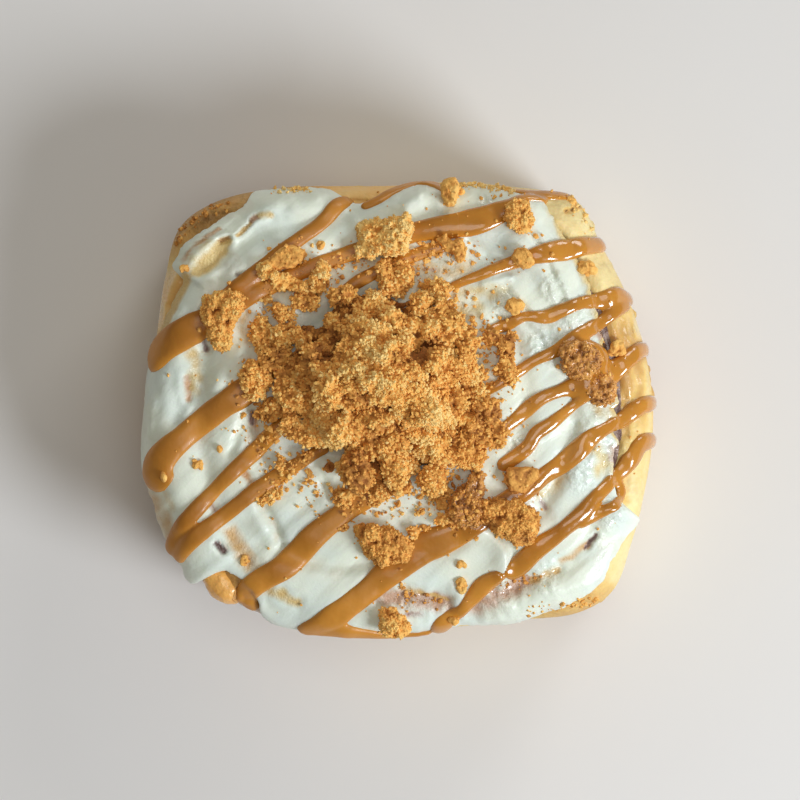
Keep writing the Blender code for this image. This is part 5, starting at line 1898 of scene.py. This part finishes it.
@dataclass
class BiscuitPieces:
    """The broken pieces of biscuit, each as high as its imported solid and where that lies."""

    form: RollForm
    voxel: float = 0.25
    columns: int = 72
    first_seed: int = 60
    grain_sizes: Spot = (0.35, 0.75)
    glaze: float = 0.7
    levels: tuple[Triple, ...] = (
        (0, 0, 0), (6, 0.88, 0), (9, 1, 0.12), (15, 1.02, 0.5), (20, 0.95, 0.82), (23, 0.8, 0.97),
        (30, 0, 1),
    )
    pieces: tuple[Broken, ...] = tuple(Broken(*row) for row in (
        (((-41.9, 20.3), (-41.2, 22.3), (-38.5, 23.7), (-35.2, 24.4), (-32.9, 22.8), (-34.3, 19.5),
          (-35.6, 17), (-36.4, 13.6), (-37.8, 11.7), (-39.7, 13.2), (-40.6, 16.5)), (0.1, 0.3), POROUS,
          0.56),
        (((-9.9, 31.5), (-8.4, 34.2), (-8.7, 37.6), (-5.2, 39.2), (-1.6, 39.9), (1.6, 40.5), (2.6, 37.4),
          (1, 35.6), (1.4, 33), (-1.8, 32.2), (-4.6, 32.9), (-6.2, 31.2)), (0.2, -0.2), POROUS, 0.8),
        (((-30, 29.6), (-27.2, 31.6), (-25, 33.4), (-22.8, 34.2), (-20, 32.5), (-20.8, 30.9), (-23, 29.3),
          (-26, 28.6)), (0.1, 0.1), DENSE, 0.42),
        (((-29.9, 29.4), (-28.5, 29.8), (-26.8, 28.1), (-25.4, 27.4), (-24.2, 27.9), (-22, 26.9),
          (-19.6, 25.4), (-19.9, 24.1), (-22.4, 24.7), (-25.2, 24.7), (-27.3, 25.9), (-29.2, 27.8)),
          (-0.1, 0.1), POROUS, 0.66),
        (((-9.2, -25.7), (-7.4, -25.3), (-5, -25.8), (-2.6, -26.2), (-0.2, -26.6), (1.2, -28), (2.4, -30.2),
          (0.8, -32.7), (-1.8, -32.6), (-4, -33.6), (-6.4, -31.6), (-8, -29.2)), (0.2, -0.1), POROUS, 0.38),
        (((17, -19.6), (20, -20.2), (24, -19.8), (25.5, -21.2), (28.2, -22), (29.4, -23.6), (28.6, -26),
          (27.4, -28.9), (24, -28.6), (22, -27.2), (19.4, -25.9), (15.8, -24.6)), (0.1, -0.3), POROUS,
          0.36),
        (((10.8, -19.8), (12.6, -17.6), (14.6, -16), (15.6, -13.8), (17.4, -14.6), (17.6, -17.4),
          (16.4, -19.6), (17.2, -22), (15.8, -25.2), (12.6, -25), (10.6, -23.4)), (0.1, -0.2), GLAZED, 0.3),
        (((22.6, -13.2), (25.6, -13), (29, -13.3), (29.4, -14.9), (27.6, -17), (26, -18.6), (23.4, -18.2),
          (22, -15.8)), (-0.1, 0.1), DENSE, 0.24),
        (((33.7, 11.4), (34.4, 9.4), (35, 7.4), (36.8, 5.9), (39.6, 6.3), (41.6, 7.6), (42.4, 9.8),
          (41.2, 12), (39, 13.5), (36.4, 13.3), (34.6, 12.8)), (0, -0.2), GLAZED, 0.36),
        (((39.6, 4.2), (41.4, 5.9), (43.6, 6), (45.4, 4.4), (45.2, 1.8), (43.4, 0.2), (41.2, 0.6),
          (39.8, 2.4)), (0, -0.1), GLAZED, 0.42),
        (((-4.3, -45.2), (-3.6, -43.4), (-1.4, -43.2), (0.6, -44.3), (1.9, -46.4), (1.4, -48.2), (-1, -49),
          (-3.2, -47.8)), (0.1, 0), POROUS, 0.6),
        (((8.5, 46.9), (9.6, 48.2), (11.6, 48.6), (12.4, 46.8), (12, 44.6), (11.2, 42.4), (9.8, 42.4),
          (8.6, 44.6)), (0.3, -0.1), DENSE, 0.56),
        (((23, 42.8), (24.4, 43.8), (26.4, 43.2), (27.6, 41.2), (28.1, 39.2), (26.8, 37.3), (24.8, 36.9),
          (23, 38), (22.5, 40.2)), (0, -0.2), POROUS, 0.56),
        (((7.4, 35.3), (9.2, 36.2), (11, 35), (12.9, 35.7), (13.9, 33.6), (13.6, 31.2), (12.2, 30.5),
          (11.4, 32.2), (9.4, 33)), (0.3, 0), DENSE, 0.5),
        (((23.5, 31.8), (24.7, 33.5), (26.4, 33.5), (27.7, 32.1), (28.3, 30.4), (27.2, 29.1), (25.6, 29),
          (24.4, 30)), (0.1, -0.1), DENSE, 0.52),
    ))

    def slab(self, number: int) -> Mesh:
        """A piece's body, of its own outline and its solid's height.

        Args:
            number: Which piece, from 0.

        Returns:
            Its mesh.
        """
        piece = self.pieces[number]
        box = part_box(f"biscuit_piece_{number + 1}")
        low, high = box[0].z / MM, box[1].z / MM
        corners = np.array(piece.outline + piece.outline[:1])
        middle = corners[:-1].mean(axis=0)
        lengths = np.concatenate([[0.0], np.cumsum(np.hypot(*np.diff(corners, axis=0).T))])
        rows, spreads, rises = np.array(self.levels).T

        def place(columns: Array, levels: Array) -> Placed:
            """The points of the slab's skin, from the middle below to the middle on top."""
            along = columns / self.columns * lengths[-1]
            edge = [np.interp(along, lengths, corners[:, axis]) for axis in (0, 1)]
            offset = (np.column_stack(edge) - middle) * np.interp(levels, rows, spreads)[:, None]
            rise = np.interp(levels, rows, rises)
            tops = (high - low) * (0.94 - 0.05 * np.abs(piece.slope[0])) + offset @ np.array(piece.slope)
            return np.column_stack([middle + offset, low + rise * np.minimum(tops, high - low)]), {}

        return mapped_grid(self.columns, int(rows[-1]), place)

    def build(self, material: Material, ground: Ground) -> None:
        """Make every piece, each standing for its own node."""
        openness = {POROUS: 0.85, DENSE: 0.25, GLAZED: 0.65}
        crowded = {POROUS: 1.6, DENSE: 0.15, GLAZED: 1.0}
        for number, piece in enumerate(self.pieces):
            shape = remeshed(self.slab(number), self.voxel, 3)
            crumble(shape, 5.3 * number, openness[piece.bake], piece.shade)
            ground.add(shape)
            grains = Grains(self.first_seed + number)
            area = sum(face.calc_area() for face in shape.faces)
            grains.grow(shape, round(crowded[piece.bake] * area), self.grain_sizes, 1)
            join(shape, grains.mesh())
            set_values(shape, glaze=self.glaze if piece.bake is GLAZED else 0.0)
            name = f"broken_biscuit_{number + 1}"
            finish_piece(self.form, name, shape, material, [f"biscuit_piece_{number + 1}"])


@dataclass
class LooseCrumbs:
    """Crumbs scattered over the icing, the caramel and the dough."""

    form: RollForm
    heap_centre: Spot = (-5.5, 4.5)
    near_count: int = 900
    near_reach: Spot = (23.0, 4.5)
    far_count: int = 110
    piece_crumbs: int = 16
    biscuit_spots: tuple[Spot, ...] = (
        (-37.5, 18.5), (-3.5, 35.5), (-25.5, 31.4), (-23.5, 25.6), (-3.5, -29), (23.6, -22.8),
        (14.2, -18.6), (38, 9), (-1, -44.6), (10.4, 43.4), (25, 41), (11.5, 34.5), (26, 31.5),
    )
    trails: tuple[tuple[tuple[Spot, ...], float, int, float], ...] = (
        (((-27, 46), (-23, 46.4), (-19, 46)), 0.5, 90, 1),
        (((12.5, 47.4), (17, 47.1), (24, 46)), 0.5, 190, 0.9),
        (((-0.6, -38.6), (1.4, -39.8), (3, -41.6)), 0.9, 30, 0.4),
        (((4.6, -40.4), (7, -41.2), (9, -41.6)), 0.7, 14, 0.3),
        (((20, -38.6), (26.5, -36.6), (30.4, -35.2)), 0.6, 24, 0.35),
        (((-47.6, 34.6), (-45.2, 39), (-42, 41.6), (-37, 43.2)), 0.7, 90, 0.4),
        (((4, 33.4), (10, 32.6), (17, 31.4)), 1.2, 60, 0.5),
        (((8, -17), (12, -22.5), (19, -24)), 2.4, 240, 0.4),
        (((-22, -13), (-25.5, -15.2), (-27.5, -19.2)), 0.8, 60, 0.6),
        (((27, -44), (36, -42.6), (43, -41.4)), 0.7, 70, 0.6),
        (((36, 45), (38.4, 42), (40.6, 38)), 0.8, 60, 0.9),
    )
    stuck: tuple[tuple[Spot, float], ...] = (
        ((23.8, 21.2), 3.2), ((46, 12), 3.2), ((-17, 34), 1.6), ((-38.2, -9), 1.4), ((-43, -12.4), 2.4),
        ((12.9, -33.6), 1.9), ((13, -38), 2.4), ((-50.4, -14.8), 1.5), ((39.6, 29.4), 3.2),
        ((-32.6, -33), 2.2), ((-45.6, 29.2), 1.8), ((9, -20.5), 2.4), ((12.6, 45.6), 2), ((36.6, 44), 2),
        ((11.4, -45.6), 1.8),
    )
    seed: int = 33
    grain_seed: int = 8
    first_stuck: int = 60
    toast: float = 0.56
    toast_spread: float = 0.15
    least: float = 0.3
    far_largest: float = 0.75
    largest: float = 1.2
    piece_reach: float = 3.6
    over_edge: float = -0.2
    least_slant: float = 0.35

    def spread(self, draw: np.random.Generator) -> tuple[Array, Array, Array]:
        """Where crumbs fall: thick round the heap, thin far from it, and along a few trails.

        Args:
            draw: Where the chances come from.

        Returns:
            Plan points, and the largest size and the toast of the crumb at each.
        """
        bearings = draw.uniform(0.0, math.tau, self.near_count)
        radii = self.near_reach[0] + np.abs(draw.normal(0.0, self.near_reach[1], self.near_count))
        outward = np.column_stack([np.cos(bearings), np.sin(bearings)])
        ring = np.array(self.heap_centre) + radii[:, None] * outward
        fading = mix(1.5, 0.7, smooth((radii - self.near_reach[0]) / 16.0))
        angles = draw.uniform(0.0, 360.0, self.far_count)
        far = self.form.plan(angles, self.form.rim(angles) * np.sqrt(draw.random(self.far_count)) * 0.97)
        spots, sizes = [ring, far], [fading, np.full(self.far_count, self.far_largest)]
        for spot in self.biscuit_spots:
            spots.append(np.array(spot) + draw.normal(0.0, self.piece_reach, (self.piece_crumbs, 2)))
            sizes.append(np.full(self.piece_crumbs, self.largest))
        shades = [np.full(sum(map(len, spots)), self.toast)]
        for way, half, count, shade in self.trails:
            spots.append(through(way, draw.random(count)) + draw.normal(0.0, half, (count, 2)))
            sizes.append(np.full(count, self.largest))
            shades.append(np.full(count, shade))
        return np.vstack(spots), np.concatenate(sizes), np.concatenate(shades)

    def build(self, material: Material, ground: Ground) -> None:
        """Make the scattered crumbs and the larger ones that are stuck to the icing."""
        draw = np.random.default_rng(self.seed)
        spots, largest, toasts_and_shades = self.spread(draw)
        places, sizes, shades = [], [], []
        _, insets = self.form.locate(spots)
        for spot, size, inset, toast in zip(spots, largest, insets, toasts_and_shades):
            hit = ground.top(spot)
            if hit is None or inset < self.over_edge or hit[1].z < self.least_slant:
                continue
            width = float(mix(self.least, size, draw.random() ** 2.2))
            places.append(hit[0] + hit[1] * 0.2 * width)
            sizes.append(width)
            shades.append(float(np.clip(draw.normal(toast, self.toast_spread), 0.05, 1.0)))
        grains = Grains(self.grain_seed)
        grains.add(np.array(places), np.array(sizes), np.array(shades))
        finish_piece(self.form, "loose_crumbs", grains.mesh(), material, soft=False)

        gathered = bmesh.new()
        for number, (spot, size) in enumerate(self.stuck):
            crumb = Clump(spot, (size, 0.9 * size, 0.8 * size), 40.0 * number, 0.52)
            join(gathered, crumb.build(self.first_stuck + number, ground))
        finish_piece(self.form, "stuck_crumbs", gathered, material, ["icing_layer"])


# ---- the studio ----


@dataclass
class Studio:
    """A pale table, soft light from the photograph's lower right, and a camera straight above."""

    form: RollForm
    view_width: float = 170.2
    view_middle: Spot = (-0.1, 1.28)
    view_height: float = 40.0
    lens: float = 200.0
    table: float = 3.0
    lamps: tuple[tuple[str, Triple, float, float, Colour], ...] = (
        ("key_lamp", (0.60, -0.38, 0.56), 0.34, 6.0, (0.94, 1.0, 1.06)),
        ("back_lamp", (0.46, 0.72, 0.44), 0.4, 1.9, (1.0, 1.0, 0.96)),
        ("fill_lamp", (-0.7, 0.4, 0.9), 0.9, 0.42, (1.0, 0.87, 0.66)),
        ("top_lamp", (0.10, 0.10, 1.5), 0.8, 3.4, (1.0, 0.99, 0.94)),
    )
    sky: Colour = (1.0, 0.96, 0.86)
    sky_strength: float = 0.16

    def lay_table(self, material: Material) -> None:
        """Lay the pale table under the roll."""
        shape = bmesh.new()
        bmesh.ops.create_grid(shape, x_segments=4, y_segments=4, size=self.table / 2)
        data = bpy.data.meshes.new("pale_table")
        shape.to_mesh(data)
        shape.free()
        data.materials.append(material)
        table = bpy.data.objects.new("pale_table", data)
        bpy.context.scene.collection.objects.link(table)

    def hang_lamps(self) -> None:
        """Hang the soft lamps and set the room's light."""
        for name, place, size, power, colour in self.lamps:
            data = bpy.data.lights.new(name, "AREA")
            data.shape = "DISK"
            data.size = size
            data.energy = power
            data.color = colour
            lamp = bpy.data.objects.new(name, data)
            lamp.location = place
            lamp.rotation_euler = (-Vector(place)).to_track_quat("-Z", "Y").to_euler()
            bpy.context.scene.collection.objects.link(lamp)
        world = bpy.data.worlds.new("room")
        world.use_nodes = True
        background = world.node_tree.nodes["Background"]
        background.inputs["Color"].default_value = (*self.sky, 1.0)
        background.inputs["Strength"].default_value = self.sky_strength
        bpy.context.scene.world = world

    def place_camera(self) -> None:
        """Put the camera straight above, so that the view is as wide as the photograph's at the icing."""
        data = bpy.data.cameras.new("camera")
        data.lens = self.lens
        distance = self.view_width * MM * self.lens / data.sensor_width
        camera = bpy.data.objects.new("camera", data)
        middle = (Vector((*self.view_middle, self.view_height)) + self.form.shift) * MM
        camera.location = middle + Vector((0.0, 0.0, distance))
        bpy.context.scene.collection.objects.link(camera)
        bpy.context.scene.camera = camera


def main() -> None:
    """Build the roll from the dough up."""
    logging.basicConfig(level=logging.INFO, format="%(name)s: %(message)s")
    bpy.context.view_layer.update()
    bpy.context.scene.view_settings.view_transform = "Standard"
    form = RollForm()
    ground = Ground()
    crumb = CrumbFinish().material()
    DoughRoll(form).build(DoughFinish().material(), ground)
    CinnamonFilling(form).build(FillingFinish().material(), ground)
    IcingSheet(form).build(IcingFinish().material(), ground)
    CaramelDrizzle(form).build(CaramelFinish().material(), ground)
    BiscuitPieces(form).build(crumb, ground)
    CrumbHeap(form).build(crumb, ground)
    LooseCrumbs(form).build(crumb, ground)
    studio = Studio(form)
    studio.lay_table(TableFinish().material())
    studio.hang_lamps()
    studio.place_camera()


if __name__ == "__main__":
    main()
